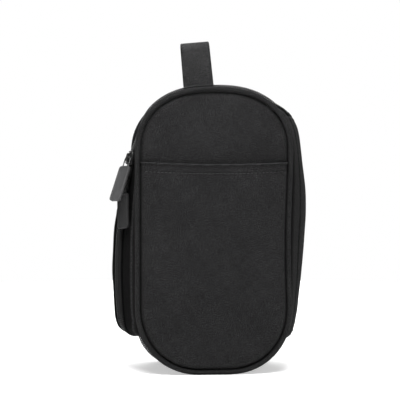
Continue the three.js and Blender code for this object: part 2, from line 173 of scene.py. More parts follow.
def unit(vectors):
    return vectors / np.linalg.norm(vectors, axis=-1, keepdims=True)


def hump(value, middle, width, power=2):
    """1 at the middle, and falling to nothing over about that width."""
    return np.exp(-(((value - middle) / width) ** power))


def squared(value, power):
    """A sine or cosine pushed outwards, which turns a circle into a rounded rectangle."""
    return np.sign(value) * np.abs(value) ** power


def circle(count):
    return np.linspace(0, 2 * math.pi, count, endpoint=False)


def rounded(count, x_power, y_power):
    """x and y round a rounded rectangle, 1 out from its middle on each side."""
    turn = circle(count)
    return squared(np.cos(turn), x_power), squared(np.sin(turn), y_power)


def grid(x, y, z):
    """Points from coordinates, each of which may be one number for all of them."""
    return np.stack(np.broadcast_arrays(x, y, z), -1)


def left_of(line):
    """The direction to the left of a line of flat points, at each of them."""
    tangent = unit(np.gradient(line, axis=0))
    return np.stack([-tangent[:, 1], tangent[:, 0]], -1)


def run_along(points):
    """How far each point lies along the line through them."""
    return np.concatenate([[0], np.cumsum(np.linalg.norm(np.diff(points, axis=0), axis=1))])


def ripple(u, v, size, seed=0):
    """Smooth uneven waves of about that size, between -1 and 1, the same on every run."""
    total = 0
    for k in range(1, 8):
        turn = 2.4 * k + seed
        length = size * (0.7 + 0.6 * math.sin(5.1 * k + seed) ** 2)
        phase = 2 * math.pi * (u * math.cos(turn) + v * math.sin(turn)) / length
        total = total + np.sin(phase + 1.7 * k * k + seed)
    return total / 4.5


# ---------- Outline and side wall, close to the frame's ----------


def seam(side, q, inset=0.0):
    """x and z of the seam line. q is 0 to 1 from the base to the crown, and below 0 on the flat."""
    q = np.asarray(q, float)
    half = SIDE - inset
    low = np.clip(1 - 3 * q, 0, 1) * QUARTER
    high = np.clip(3 * q - 2, 0, 1) * QUARTER
    base_x = BASE_FLAT + (half - BASE_FLAT) * np.clip(np.cos(low), 0, 1) ** (2 / BASE_POWER)
    base_x = np.where(q < 0, BASE_FLAT * (1 + q / Q_FLAT), base_x)
    base_z = BASE_RISE - (BASE_RISE - PIPING_R - inset) * np.sin(low) ** (2 / BASE_POWER)
    top_x = half * np.clip(np.cos(high), 0, 1) ** (2 / TOP_POWER)
    top_z = SHOULDER + (TOP_RISE - PIPING_R - inset) * np.sin(high) ** (2 / TOP_POWER)
    x = np.where(q < 1 / 3, base_x, np.where(q > 2 / 3, top_x, half))
    z = np.where(q < 1 / 3, base_z, np.where(q > 2 / 3, top_z, mix(BASE_RISE, SHOULDER, 3 * q - 1)))
    waist = WAIST * hump(z, WAIST_Z, WAIST_SPAN) * x / half
    return side * (x - np.where(np.asarray(side) > 0, waist, 0)), z


def q_at(z):
    """The q at which the seam line reaches a height."""
    if z < BASE_RISE:
        sine = ((BASE_RISE - z) / (BASE_RISE - PIPING_R)) ** (BASE_POWER / 2)
        return (1 - math.asin(sine) / QUARTER) / 3
    if z > SHOULDER:
        sine = ((z - SHOULDER) / (TOP_RISE - PIPING_R)) ** (TOP_POWER / 2)
        return (2 + math.asin(sine) / QUARTER) / 3
    return (1 + (z - BASE_RISE) / (SHOULDER - BASE_RISE)) / 3


Q_LOW = q_at(SPINE_LOW)
Q_HIGH = q_at(SPINE_HIGH)
ROUND = 2 + 2 * Q_FLAT  # once round the bag, counted from the right side's base


class Places:
    """Places round the bag. way runs from 0 up the right side, over the top at 1, down the left
    side and along the base to ROUND."""

    def __init__(self, way, turn_z=LEFT_LOW):
        way = np.asarray(way, float) % ROUND
        left = (way > 1) & (way < 2 + Q_FLAT)
        self.side = np.where(left, -1.0, 1.0)
        q = np.where(left, 2 - way, np.where(way >= 2 + Q_FLAT, way - ROUND, way))
        self.x, self.z = seam(self.side, q)
        step = 0.0005
        low_x, low_z = seam(self.side, np.clip(q - step, -Q_FLAT, 1))
        high_x, high_z = seam(self.side, np.clip(q + step, -Q_FLAT, 1))
        out = np.stack([self.side * (high_z - low_z), -self.side * (high_x - low_x)], -1)
        self.square = unit(out)
        self.swell = self.swell_at(q, turn_z)
        level = np.stack([self.side, np.zeros_like(q)], -1)
        self.out = unit(mix(self.square, level, self.swell[:, None]))
        self.set_profile(q)

    def swell_at(self, q, turn_z):
        spine = 1 - smooth(0, KNUCKLE, np.maximum(Q_LOW - q, q - Q_HIGH))
        above = 1 - smooth(LEFT_HIGH, LEFT_HIGH + LEFT_FADE, self.z)
        below = np.sqrt(np.clip(1 - (np.maximum(turn_z - self.z, 0) / LEFT_TURN) ** 5, 0, 1))
        return np.where(self.side > 0, spine, np.where(self.z > turn_z, above, below))

    def set_profile(self, q):
        base = 1 - smooth(0, 0.12, q)
        right = self.side > 0
        pillow = np.where(right, along_knots(q, RIGHT_PILLOW, 0.02), along_knots(q, LEFT_PILLOW, 0.02))
        pillow = pillow * (1 - self.swell)
        rest_zip = (base - 1) * MM
        rest_wide = base * (PIPING_R + MM) - MM
        off = np.clip(np.abs(self.z - SPINE_MIDDLE) / SPINE_SPAN, 0, 1)
        bulge = SPINE_BULGE - SPINE_FALL * off**1.5 + along_knots(self.z / MM, SPINE_BELLY, 7)
        arc = LEFT_REACH - LEFT_R + np.sqrt(LEFT_R**2 - (self.z - LEFT_Z) ** 2)
        goal = np.where(right, 0.9 * bulge, arc - np.abs(self.x))
        lean_zip = mix(rest_zip, goal, self.swell)
        left_wide = np.maximum(rest_wide, lean_zip + LEFT_SWELL * smooth(0, 14 * MM, lean_zip))
        self.zip = lean_zip + pillow
        self.wide = np.where(right, mix(rest_wide, bulge, self.swell), left_wide) + 0.4 * pillow
        left_slope = 0.9 * (1 - smooth(184 * MM, 212 * MM, self.z)) * smooth(33 * MM, 46 * MM, self.z)
        self.slope = np.where(right, 0.25 * self.swell, left_slope)
        swollen = self.swell * goal
        right_start = 0.75 * np.clip(swollen / (16.6 * MM), 0, 1)
        self.start = np.where(right, right_start, 0.2 * np.clip(swollen / (15 * MM), 0, 1))

    def profile(self, depth):
        """How far out the wall's face lies at a depth behind the front seam."""
        if depth < ZIP_DEPTH:
            return hermite(0, self.zip, self.start, self.slope, ZIP_DEPTH, depth / ZIP_DEPTH)
        if depth < WIDE_FROM:
            span = WIDE_FROM - ZIP_DEPTH
            return hermite(self.zip, self.wide, self.slope, 0, span, (depth - ZIP_DEPTH) / span)
        if depth < WIDE_TO:
            return self.wide
        span = DEPTH - WIDE_TO
        return hermite(self.wide, 0, 0, -1.5 * self.wide / span, span, (depth - WIDE_TO) / span)

    def at(self, depth, inset=0.0):
        """Points of the wall at a depth, inside its face by inset, which may differ by place."""
        step = 0.05 * MM
        rise = (self.profile(depth + step) - self.profile(depth - step)) / (2 * step)
        length = np.hypot(1, rise)
        reach = self.profile(depth) - inset / length
        y = FRONT + depth + inset * rise / length
        return grid(self.x + self.out[:, 0] * reach, y, self.z + self.out[:, 1] * reach)

    def outward(self, depth):
        """The direction straight out of the wall's face at a depth."""
        return unit(self.at(depth, -MM) - self.at(depth, MM))


def even_ways(start, end, step, depth=ZIP_DEPTH):
    """Places from start to end, about step apart as measured at a depth."""
    fine = np.linspace(start, end, 3000)
    points = Places(fine).at(depth)
    run = run_along(points)
    return np.interp(np.linspace(0, run[-1], max(2, round(run[-1] / step))), run, fine)


# ---------- Mesh building ----------


def place_object(name, data):
    obj = bpy.data.objects.new(name, data)
    bpy.context.scene.collection.objects.link(obj)
    return obj


def make_object(name, verts, faces, uvs):
    mesh = bpy.data.meshes.new(name)
    mesh.from_pydata(np.asarray(verts).tolist(), [], faces)
    mesh.uv_layers.new(name="weave").data.foreach_set("uv", np.asarray(uvs, np.float32).ravel())
    mesh.polygons.foreach_set("use_smooth", [True] * len(mesh.polygons))
    mesh.update()
    return place_object(name, mesh)


def metric_uv(sections):
    """Lengths along the sections and round them, so that a weave keeps its size."""
    ahead = np.linalg.norm(np.roll(sections, -1, 0) - sections, axis=2).mean(1)
    across = np.linalg.norm(np.roll(sections, -1, 1) - sections, axis=2).mean(0)
    u = np.concatenate([[0], np.cumsum(ahead)])
    v = np.concatenate([[0], np.cumsum(across)])
    return np.stack(np.meshgrid(u, v, indexing="ij"), -1)


def flat_uv(sections):
    """x and z as the weave's coordinates, for panels that face the front or back."""
    uv = sections[:, :, [0, 2]]
    uv = np.concatenate([uv, uv[:, :1]], 1)
    return np.concatenate([uv, uv[:1]], 0)


def loft(name, sections, closed=False, uv=None):
    """A closed body through a row of closed sections, given as an array (section, point, xyz)."""
    sections = np.asarray(sections, float)
    rows, count, _ = sections.shape
    uv = metric_uv(sections) if uv is None else uv
    row = np.arange(rows if closed else rows - 1)[:, None]
    point = np.arange(count)[None, :]
    corners = [(row, point), (row, point + 1), (row + 1, point + 1), (row + 1, point)]
    index = [(r % rows) * count + p % count for r, p in corners]
    quads = np.stack(np.broadcast_arrays(*index), -1).reshape(-1, 4)
    loops = np.stack([uv[r, p] for r, p in corners], 2).reshape(-1, 4, 2)
    verts = sections.reshape(-1, 3)
    a, b, c, d = (verts[quads[:, k]] for k in range(4))
    volume = np.sum(a * np.cross(b, c)) + np.sum(a * np.cross(c, d))
    caps = []
    if not closed:
        caps = [np.arange(count)[::-1], (rows - 1) * count + np.arange(count)]
        for cap in caps:
            fan = verts[cap]
            volume += np.sum(fan[0] * np.cross(fan[1:-1], fan[2:]))
    if volume < 0:
        quads, loops = quads[:, ::-1], loops[:, ::-1]
        caps = [cap[::-1] for cap in caps]
    cap_loops = np.zeros((sum(len(cap) for cap in caps), 2))
    faces = quads.tolist() + [cap.tolist() for cap in caps]
    return make_object(name, verts, faces, np.concatenate([loops.reshape(-1, 2), cap_loops]))


def strip_outline(depths, outer, inner):
    """(depth, inset) points round a strip's section, with both edges rounded."""
    middle, radius = (outer + inner) / 2, (inner - outer) / 2
    turns = np.radians([36, 72, 108, 144])
    far = [(depths[-1] + radius * math.sin(t), middle - radius * math.cos(t)) for t in turns]
    near = [(depths[0] - radius * math.sin(t), middle + radius * math.cos(t)) for t in turns]
    return [(d, outer) for d in depths] + far + [(d, inner) for d in depths[::-1]] + near


def band(name, ways, depths, outer, inner, closed=False, relief=None, turn_z=LEFT_LOW):
    """A strip of the side wall. relief(run, depth, z) lifts it out of the wall."""
    places = Places(ways, turn_z)
    run = run_along(Places(ways).at(ZIP_DEPTH))
    rows = []
    for depth, inset in strip_outline(list(depths), outer, inner):
        lift = 0 if relief is None else relief(run, depth, places.z)
        rows.append(places.at(min(max(depth, 0), DEPTH - 0.1 * MM), inset - lift))
    return loft(name, np.stack(rows, 1), closed)


def tube(name, path, radius, sides, reference, closed=False):
    """A round tube. reference is a direction, at each point, that the path never runs along."""
    path = np.asarray(path, float)
    if closed:
        tangent = np.roll(path, -1, 0) - np.roll(path, 1, 0)
    else:
        tangent = np.gradient(path, axis=0)
    tangent = unit(tangent)
    first = unit(np.cross(tangent, reference))
    second = np.cross(tangent, first)
    turn = circle(sides)
    ring = first[:, None] * np.cos(turn)[None, :, None] + second[:, None] * np.sin(turn)[None, :, None]
    return loft(name, path[:, None] + ring * np.reshape(radius, (-1, 1, 1)), closed)


def join(name, parts):
    """Several objects as one. They share the first one's UV map."""
    meshes = [part.data for part in parts]
    verts, faces, uvs, offset = [], [], [], 0
    for mesh in meshes:
        verts += [v.co[:] for v in mesh.vertices]
        faces += [[i + offset for i in p.vertices] for p in mesh.polygons]
        uvs += [loop.uv[:] for loop in mesh.uv_layers["weave"].data]
        offset += len(mesh.vertices)
    for part in parts:
        bpy.data.objects.remove(part)
    return make_object(name, verts, faces, uvs)


def stitches(name, points, alongs, outs, length=2.4 * MM, radius=0.24 * MM):
    """A row of stitches, each a short thread that dips into the cloth at both ends."""
    points, alongs, outs = (np.asarray(a, float) for a in (points, alongs, outs))
    sides = 6
    across = unit(np.cross(alongs, outs))
    reach = np.array([-0.5, -0.4, -0.15, 0.15, 0.4, 0.5]) * length
    dip = np.array([-1.6, -0.5, 0.25, 0.25, -0.5, -1.6]) * radius
    girth = np.array([0.5, 0.9, 1, 1, 0.9, 0.5]) * radius
    turn = circle(sides)
    centre = points[:, None] + alongs[:, None] * reach[None, :, None] + outs[:, None] * dip[None, :, None]
    ring = across[:, None, None] * np.cos(turn)[None, None, :, None]
    ring = ring + outs[:, None, None] * np.sin(turn)[None, None, :, None]
    verts = centre[:, :, None] + ring * girth[None, :, None, None]
    rings = len(reach)
    face = []
    for r in range(rings - 1):
        for s in range(sides):
            t = (s + 1) % sides
            face.append([r * sides + s, r * sides + t, (r + 1) * sides + t, (r + 1) * sides + s])
    caps = [list(range(sides))[::-1], [(rings - 1) * sides + s for s in range(sides)]]
    pattern = face + caps
    faces = [[i + k * rings * sides for i in f] for k in range(len(points)) for f in pattern]
    corners = sum(len(f) for f in faces)
    obj = make_object(name, verts.reshape(-1, 3), faces, np.zeros((corners, 2)))
    bm = bmesh.new()
    bm.from_mesh(obj.data)
    bmesh.ops.recalc_face_normals(bm, faces=bm.faces)
    bm.to_mesh(obj.data)
    bm.free()
    return obj


def stitch_wall(name, start, end, depth, lift, spacing=3.3 * MM):
    """A row of stitches along the side wall at a depth."""
    ways = even_ways(start, end, spacing, depth)
    places = Places(ways)
    points = places.at(depth, -lift)
    return stitches(name, points, unit(np.gradient(points, axis=0)), places.outward(depth))


# ---------- Materials ----------


def node(tree, kind, inputs=(), **settings):
    """A shader node. inputs maps a socket's name or number to a value or to another socket."""
    made = tree.nodes.new(kind)
    for key, value in settings.items():
        setattr(made, key, value)
    for key, value in dict(inputs).items():
        if isinstance(value, bpy.types.NodeSocket):
            tree.links.new(value, made.inputs[key])
        else:
            made.inputs[key].default_value = value
    return made


def sums(tree, operation, a, b=0.0):
    return node(tree, "ShaderNodeMath", {0: a, 1: b}, operation=operation).outputs[0]


def times(tree, a, b, plus=0.0):
    return node(tree, "ShaderNodeMath", {0: a, 1: b, 2: plus}, operation="MULTIPLY_ADD").outputs[0]


def vectors(tree, operation, **inputs):
    sockets = {"a": 0, "b": 1, "scale": 3}
    values = {sockets[key]: value for key, value in inputs.items()}
    return node(tree, "ShaderNodeVectorMath", values, operation=operation).outputs[0]


def ramp(tree, value, low, high, start, end):
    """From start at low to end at high, and level past both."""
    return node(tree, "ShaderNodeMapRange", {0: value, 1: low, 2: high, 3: start, 4: end}).outputs[0]


def blend_colour(tree, factor, a, b):
    return node(tree, "ShaderNodeMix", {0: factor, 6: a, 7: b}, data_type="RGBA").outputs[2]


def noise(tree, vector, scale, detail=2.0, roughness=0.5):
    inputs = {"Vector": vector, "Scale": scale, "Detail": detail, "Roughness": roughness}
    return node(tree, "ShaderNodeTexNoise", inputs).outputs[0]


def new_material(name, roughness, specular, sheen=0.0, coat=0.0):
    material = bpy.data.materials.new(name)
    material.use_nodes = True
    tree = material.node_tree
    shader = tree.nodes["Principled BSDF"]
    settings = {"Roughness": roughness, "Specular IOR Level": specular, "Sheen Weight": sheen}
    settings |= {"Sheen Roughness": 0.5, "Coat Weight": coat}
    for key, value in settings.items():
        shader.inputs[key].default_value = value
    return material, tree, shader


def shade(grey, tint=(1, 1, 1.02)):
    return (*[grey * t for t in tint], 1)


def bump(tree, shader, height, distance, strength):
    made = node(tree, "ShaderNodeBump", {"Height": height, "Distance": distance, "Strength": strength})
    tree.links.new(made.outputs[0], shader.inputs["Normal"])


def painted_crevice_shade(tree, colour, reach=4 * MM):
    """The colour, darkened by ambient occlusion in seams and folds: painted shade where little light gets
    in.
    """
    open_to = node(tree, "ShaderNodeAmbientOcclusion", {"Distance": reach}, samples=6).outputs["AO"]
    return blend_colour(tree, ramp(tree, open_to, 0.35, 0.95, 0.15, 1.0), shade(0.0), colour)


def woven(name, grey, pitch, specular=0.08, roughness=0.95, sheen=0.02, diagonal=0.0, painted_seam_shade=None):
    """Plain weave: threads of that pitch pass over and under each other. Each thread is a little
    lighter or darker along its way, and wear and dust mottle the whole. The seam argument gives how
    far from its first edge a strip is darkened, as painted shade beside the piping, and from where it is
    clear."""
    material, tree, shader = new_material(name, roughness, specular, sheen)
    coordinates = node(tree, "ShaderNodeUVMap", uv_map="weave").outputs[0]
    wander = {"Vector": coordinates, "Scale": 60.0, "Detail": 1.0}
    drift = node(tree, "ShaderNodeTexNoise", wander).outputs[1]
    drift = vectors(tree, "SUBTRACT", a=drift, b=(0.5, 0.5, 0.5))
    drift = vectors(tree, "SCALE", a=drift, scale=0.15 * pitch)
    threads = vectors(tree, "ADD", a=coordinates, b=drift)
    off_square = {"Vector": threads, "Rotation": (0, 0, diagonal + 0.06)}
    threads = node(tree, "ShaderNodeMapping", off_square).outputs[0]
    place = node(tree, "ShaderNodeSeparateXYZ", {0: threads})
    waves = [sums(tree, "COSINE", times(tree, place.outputs[k], math.pi / pitch)) for k in (0, 1)]
    over = sums(tree, "GREATER_THAN", times(tree, *waves), 0.0)
    across, along = (sums(tree, "ABSOLUTE", wave) for wave in waves)
    warp = times(tree, across, sums(tree, "POWER", along, 0.35))
    weft = times(tree, along, sums(tree, "POWER", across, 0.35))
    height = node(tree, "ShaderNodeMix", {0: over, 2: weft, 3: warp}).outputs[0]
    fuzz = noise(tree, threads, 5200.0, 1.0)
    yarns = []
    for scale in ((160, 1 / pitch, 1), (1 / pitch, 160, 1)):
        strands = node(tree, "ShaderNodeMapping", {"Vector": threads, "Scale": scale}).outputs[0]
        yarns.append(noise(tree, strands, 1.0, 1.0))
    yarn = node(tree, "ShaderNodeMix", {0: over, 2: yarns[0], 3: yarns[1]}).outputs[0]
    mottle = noise(tree, coordinates, 1200.0, 2.0, 0.7)
    cloud = noise(tree, coordinates, 34.0, 2.0)
    tone = times(tree, height, 2.3, -0.37)
    tone = times(tree, tone, times(tree, yarn, 2.0))
    tone = times(tree, tone, times(tree, mottle, 4.6, -1.3))
    tone = times(tree, tone, times(tree, cloud, 0.6, 0.7))
    tone = times(tree, tone, 0.25)
    # Painted shade: the strip is darkened near its first edge, where the piping's groove lies.
    if painted_seam_shade:
        edge = node(tree, "ShaderNodeSeparateXYZ", {0: coordinates}).outputs[1]
        tone = times(tree, tone, ramp(tree, edge, *painted_seam_shade, 0.15, 1.0))
    colour = blend_colour(tree, tone, shade(0.0), shade(4 * grey))
    # The base colour carries painted shade in seams and folds.
    tree.links.new(painted_crevice_shade(tree, colour), shader.inputs["Base Color"])
    relief = times(tree, fuzz, 0.25, height)
    bump(tree, shader, relief, 0.32 * pitch, 0.9)
    return material


def ribbed(name, grey, pitch, specular=0.1, roughness=0.85, axis=1, chevron=0.0, sheen=0.05):
    """A tape with fine ribs. axis 0 sets them across its length and 1 along it."""
    material, tree, shader = new_material(name, roughness, specular, sheen)
    coordinates = node(tree, "ShaderNodeUVMap", uv_map="weave").outputs[0]
    place = node(tree, "ShaderNodeSeparateXYZ", {0: coordinates})
    zigzag = sums(tree, "PINGPONG", place.outputs[1 - axis], 1.4 * MM)
    shifted = times(tree, zigzag, chevron, place.outputs[axis])
    rib = sums(tree, "ABSOLUTE", sums(tree, "SINE", times(tree, shifted, math.pi / pitch)))
    knit = sums(tree, "SINE", times(tree, place.outputs[1 - axis], 2 * math.pi / (0.7 * pitch)))
    height = times(tree, knit, 0.15, rib)
    mottle = noise(tree, coordinates, 400.0, 3.0, 0.6)
    tone = times(tree, times(tree, height, 0.25, 0.3), times(tree, mottle, 1.0, 0.5))
    colour = blend_colour(tree, tone, shade(0.0), shade(2 * grey))
    # The base colour carries painted shade in seams and folds.
    tree.links.new(painted_crevice_shade(tree, colour), shader.inputs["Base Color"])
    bump(tree, shader, height, 0.3 * pitch, 0.8)
    return material


def moulded(name, grey, grain, specular, roughness, coat=0.0):
    """Plastic, rubber or enamel: a fine grain in the surface and rubbed, lighter patches."""
    material, tree, shader = new_material(name, roughness, specular, coat=coat)
    coordinates = node(tree, "ShaderNodeTexCoord").outputs["Object"]
    fine = noise(tree, coordinates, 1 / grain, 2.0, 0.6)
    patch = noise(tree, coordinates, 180.0, 3.0, 0.6)
    tone = times(tree, patch, 0.25, 0.37)
    tree.links.new(blend_colour(tree, tone, shade(0.0), shade(2 * grey)), shader.inputs["Base Color"])
    rough = times(tree, patch, 0.2, roughness - 0.1)
    tree.links.new(rough, shader.inputs["Roughness"])
    bump(tree, shader, fine, 0.25 * grain, 0.5)
    return material


matt = dict(specular=0.03, chevron=1.0, sheen=0.0)
enamel = dict(specular=0.5, roughness=0.3, coat=0.3)
rubber = dict(specular=0.25, roughness=0.6)
finishes = (
    woven("shell_fabric", 0.0157, 0.8 * MM),
    # The gussets and the spine are the shell's fabric in darker copies: painted shade for the recessed,
    # sideways-facing walls. The lid's gusset and the spine also get painted shade near the piping.
    woven("gusset_fabric", 0.0125, 0.85 * MM),
    woven("lid_gusset_fabric", 0.0135, 0.85 * MM, painted_seam_shade=(8.2 * MM, 10.2 * MM)),
    woven("spine_fabric", 0.0078, 0.85 * MM, sheen=0.03, painted_seam_shade=(6.0 * MM, 7.8 * MM)),
    woven("piping", 0.0156, 0.6 * MM, diagonal=math.radians(45)),
    # The pocket's top edge: the shell's fabric made lighter, a painted highlight where the edge catches
    # the light.
    woven("painted_highlight_edge", 0.027, 0.8 * MM),
    woven("lining", 0.05, 0.25 * MM, specular=0.3, roughness=0.55, sheen=0.1),
    # The tapes are black, and their greys are lowered further as painted shade for the recess round the
    # zip, the lid's most.
    ribbed("zipper_tape", 0.0058, 0.45 * MM, **matt),
    ribbed("zipper_tape_back", 0.0075, 0.45 * MM, **matt),
    moulded("zipper_coil", 0.0105, 0.3 * MM, specular=0.25, roughness=0.4),
    moulded("slider_metal", 0.012, 0.25 * MM, **enamel),
    moulded("pull_wire", 0.014, 0.25 * MM, **enamel),
    moulded("pull_rubber", 0.051, 0.3 * MM, **rubber),
    # The lower tab: the same rubber made darker, as painted shade from the upper tab.
    moulded("pull_dark", 0.0165, 0.3 * MM, **rubber),
    woven("webbing", 0.0352, 0.7 * MM),
    ribbed("mesh", 0.02, 0.2 * MM),
    ribbed("elastic", 0.016, 0.8 * MM, axis=0),
    ribbed("binding", 0.02, 0.6 * MM, axis=0),
    ribbed("thread", 0.03, 0.3 * MM, specular=0.3, roughness=0.6),
)
# The frame's own materials hold some of these names, and then Blender adds a dot and a number.
materials = {material.name.partition(".")[0]: material for material in finishes}


# The slot of each finish that isn't named after its slot
slots = {"painted_highlight_edge": "shell_fabric", "zipper_tape_back": "zipper_tape", "pull_dark": "pull_rubber"}
slots |= {part + "_fabric": "shell_fabric" for part in ("gusset", "lid_gusset", "spine")}


def finish_piece(obj, finish, body=None, *nodes, slot=None):
    """Gives a piece its material, the body it rides on and the nodes it replaces. slot is not used."""
    obj.data.materials.clear()
    obj.data.materials.append(materials[finish])
    if body:
        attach(obj, body)
    if nodes:
        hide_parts(*nodes)


# ---------- Camera, lights and floor ----------


def aim_at(obj, place, target):
    obj.location = place
    obj.rotation_mode = "QUATERNION"
    obj.rotation_quaternion = (Vector(target) - Vector(place)).to_track_quat("-Z", "Y")


def make_camera():
    """Level with the bag's middle and a little to its left, as a product shot."""
    azimuth = math.radians(-5.5)
    elevation = math.radians(1.0)
    distance = 1.0
    frame_width = 0.331  # what the picture spans at the target
    target = Vector((-12.4 * MM, FRONT, 145.3 * MM))
    level = math.cos(elevation)
    back = Vector((math.sin(azimuth) * level, -math.cos(azimuth) * level, math.sin(elevation)))
    data = bpy.data.cameras.new("camera")
    data.lens = data.sensor_width * distance / frame_width
    data.clip_start = 0.05
    camera = place_object("camera", data)
    aim_at(camera, target + back * distance, target)
    bpy.context.scene.camera = camera


def area_light(name, place, size, power, target):
    data = bpy.data.lights.new(name, "AREA")
    data.shape = "DISK"
    data.size = size
    data.energy = power
    light = place_object(name, data)
    light.visible_camera = False
    aim_at(light, place, target)


def make_studio():
    world = bpy.data.worlds.new("studio")
    world.use_nodes = True
    tree = world.node_tree
    ambient = tree.nodes["Background"]
    ambient.inputs[0].default_value = (1, 1, 1, 1)
    ambient.inputs[1].default_value = 0.22
    backdrop = node(tree, "ShaderNodeBackground", {0: (1, 1, 1, 1), 1: 1.0}).outputs[0]
    seen = node(tree, "ShaderNodeLightPath").outputs["Is Camera Ray"]
    mixed = node(tree, "ShaderNodeMixShader", {0: seen, 1: ambient.outputs[0], 2: backdrop}).outputs[0]
    tree.links.new(mixed, tree.nodes["World Output"].inputs[0])
    bpy.context.scene.world = world
    bpy.context.scene.view_settings.view_transform = "Standard"
    area_light("overhead", (-0.05, -0.38, 0.68), 0.45, 8.0, (0, 0, 0.14))
    area_light("front_right", (0.5, -1.5, 0.8), 0.8, 2, (0, 0, 0.12))
    area_light("behind", (0, 0.9, 0.9), 1.0, 14, (0, 0.5, 0))
    bpy.ops.mesh.primitive_circle_add(vertices=96, radius=0.9, fill_type="NGON")
    floor = bpy.context.object
    floor.name = "floor"
    material, tree, shader = new_material("floor", 0.9, 0.1)
    grain = noise(tree, node(tree, "ShaderNodeTexCoord").outputs["Object"], 40.0)
    colour = blend_colour(tree, grain, shade(0.86, (1, 1, 1)), shade(0.9, (1, 1, 1)))
    tree.links.new(colour, shader.inputs["Base Color"])
    shader.inputs["Emission Color"].default_value = (1, 1, 1, 1)
    shader.inputs["Emission Strength"].default_value = 0.5
    floor.data.materials.append(material)


# ---------- Panels ----------


def inside_seam(x, z):
    """Roughly how far a point of the front or back lies inside the seam line."""
    waist = WAIST * hump(z, WAIST_Z, WAIST_SPAN) * x / SIDE
    reach = np.abs(x + np.where(x > 0, waist, 0))
    flat = np.maximum(reach - BASE_FLAT, 0) / (SIDE - BASE_FLAT)
    down = np.clip((BASE_RISE - z) / (BASE_RISE - PIPING_R), 0, None)
    up = np.clip((z - SHOULDER) / (TOP_RISE - PIPING_R), 0, None)
    low = (flat**BASE_POWER + down**BASE_POWER) ** (1 / BASE_POWER)
    high = ((reach / SIDE) ** TOP_POWER + up**TOP_POWER) ** (1 / TOP_POWER)
    return np.where(z < BASE_RISE, (1 - low) * (SIDE - BASE_FLAT), (1 - high) * SIDE)


def groove_at(x, z):
    """1 at the seam and 0 away from it, for the dip in which the piping lies."""
    return 1 - smooth(1.6 * MM, 5.2 * MM, inside_seam(x, z))


def belly_at(across, z):
    """How far the filled front bulges, most just above its middle."""
    rise = np.clip((HEIGHT - 12 * MM - z) / (90 * MM), 0, 1) * np.clip(z / (110 * MM), 0, 1)
    return 3.2 * MM * np.sin(QUARTER * rise) * (1 - np.abs(across) ** 4)


def crown_at(across, z):
    up = (2 * z - HEIGHT) / (HEIGHT - 2 * PIPING_R)
    return np.minimum(1, 1.25 * (1 - np.abs(across) ** 6) * np.clip(1 - up**6, 0, 1))


def panel_grid(inset, q_list, across_list, face):
    """Points of a panel: rows up the outline by columns across it. face(across, x, z) is its y."""
    q_list = np.asarray(q_list)
    across = np.asarray(across_list)[None, :]
    left_x, z = seam(-1.0, q_list, inset)
    right_x, _ = seam(1.0, q_list, inset)
    x = np.where(across < 0, -across * left_x[:, None], across * right_x[:, None])
    z = z[:, None]
    return grid(x, face(across, x, z), z)


def columns_across(count):
    """Columns from -1 to 1, closer together at the edges."""
    return np.sin(np.linspace(-QUARTER, QUARTER, count))


def sheet_body(name, near, far):
    """A closed body between two grids of points, its edges closed between them."""
    sections = np.concatenate([near, far[:, ::-1]], 1)
    return loft(name, sections, uv=flat_uv(sections))


def simulate_padding(pad, pressure, cap, still):
    """Swells a pad with cloth under pressure. still(points) is 1 where it must stay put, and no
    point moves further than cap."""
    frames = 20
    remesh = pad.modifiers.new("remesh", "REMESH")
    remesh.mode = "VOXEL"
    remesh.voxel_size = 2.6 * MM
    apply_modifiers(pad)
    start = points_of(pad)
    group = pad.vertex_groups.new(name="still")
    hold = still(start)
    for index in np.nonzero(hold > 0)[0]:
        group.add([int(index)], float(hold[index]), "REPLACE")
    cloth = pad.modifiers.new("cloth", "CLOTH")
    cloth.settings.use_pressure = True
    cloth.settings.uniform_pressure_force = pressure
    cloth.settings.effector_weights.gravity = 0
    cloth.settings.tension_stiffness = 20
    cloth.settings.bending_stiffness = 2
    cloth.settings.vertex_group_mass = "still"
    cloth.point_cache.frame_start = 1
    cloth.point_cache.frame_end = frames
    scene = bpy.context.scene
    for number in range(1, frames + 1):
        scene.frame_set(number)
    apply_modifiers(pad)
    scene.frame_set(1)
    moved = points_of(pad) - start
    length = np.linalg.norm(moved, axis=1, keepdims=True)
    moved = moved * np.minimum(1, cap / np.maximum(length, 1e-9))
    pad.data.vertices.foreach_set("co", (start + moved).ravel())
    pad.vertex_groups.clear()


def points_of(obj):
    points = np.zeros(len(obj.data.vertices) * 3)
    obj.data.vertices.foreach_get("co", points)
    return points.reshape(-1, 3)


def apply_modifiers(obj):
    bpy.context.view_layer.update()
    shape = obj.evaluated_get(bpy.context.evaluated_depsgraph_get())
    mesh = bpy.data.meshes.new_from_object(shape)
    obj.modifiers.clear()
    obj.data = mesh


def subdivide(obj):
    obj.modifiers.new("smooth", "SUBSURF").levels = 1
    apply_modifiers(obj)
    obj.data.polygons.foreach_set("use_smooth", [True] * len(obj.data.polygons))


def lay_flat_uv(obj):
    layer = obj.data.uv_layers.get("weave") or obj.data.uv_layers.new(name="weave")
    points = points_of(obj)
    index = np.zeros(len(obj.data.loops), int)
    obj.data.loops.foreach_get("vertex_index", index)
    layer.data.foreach_set("uv", points[index][:, [0, 2]].astype(np.float32).ravel())


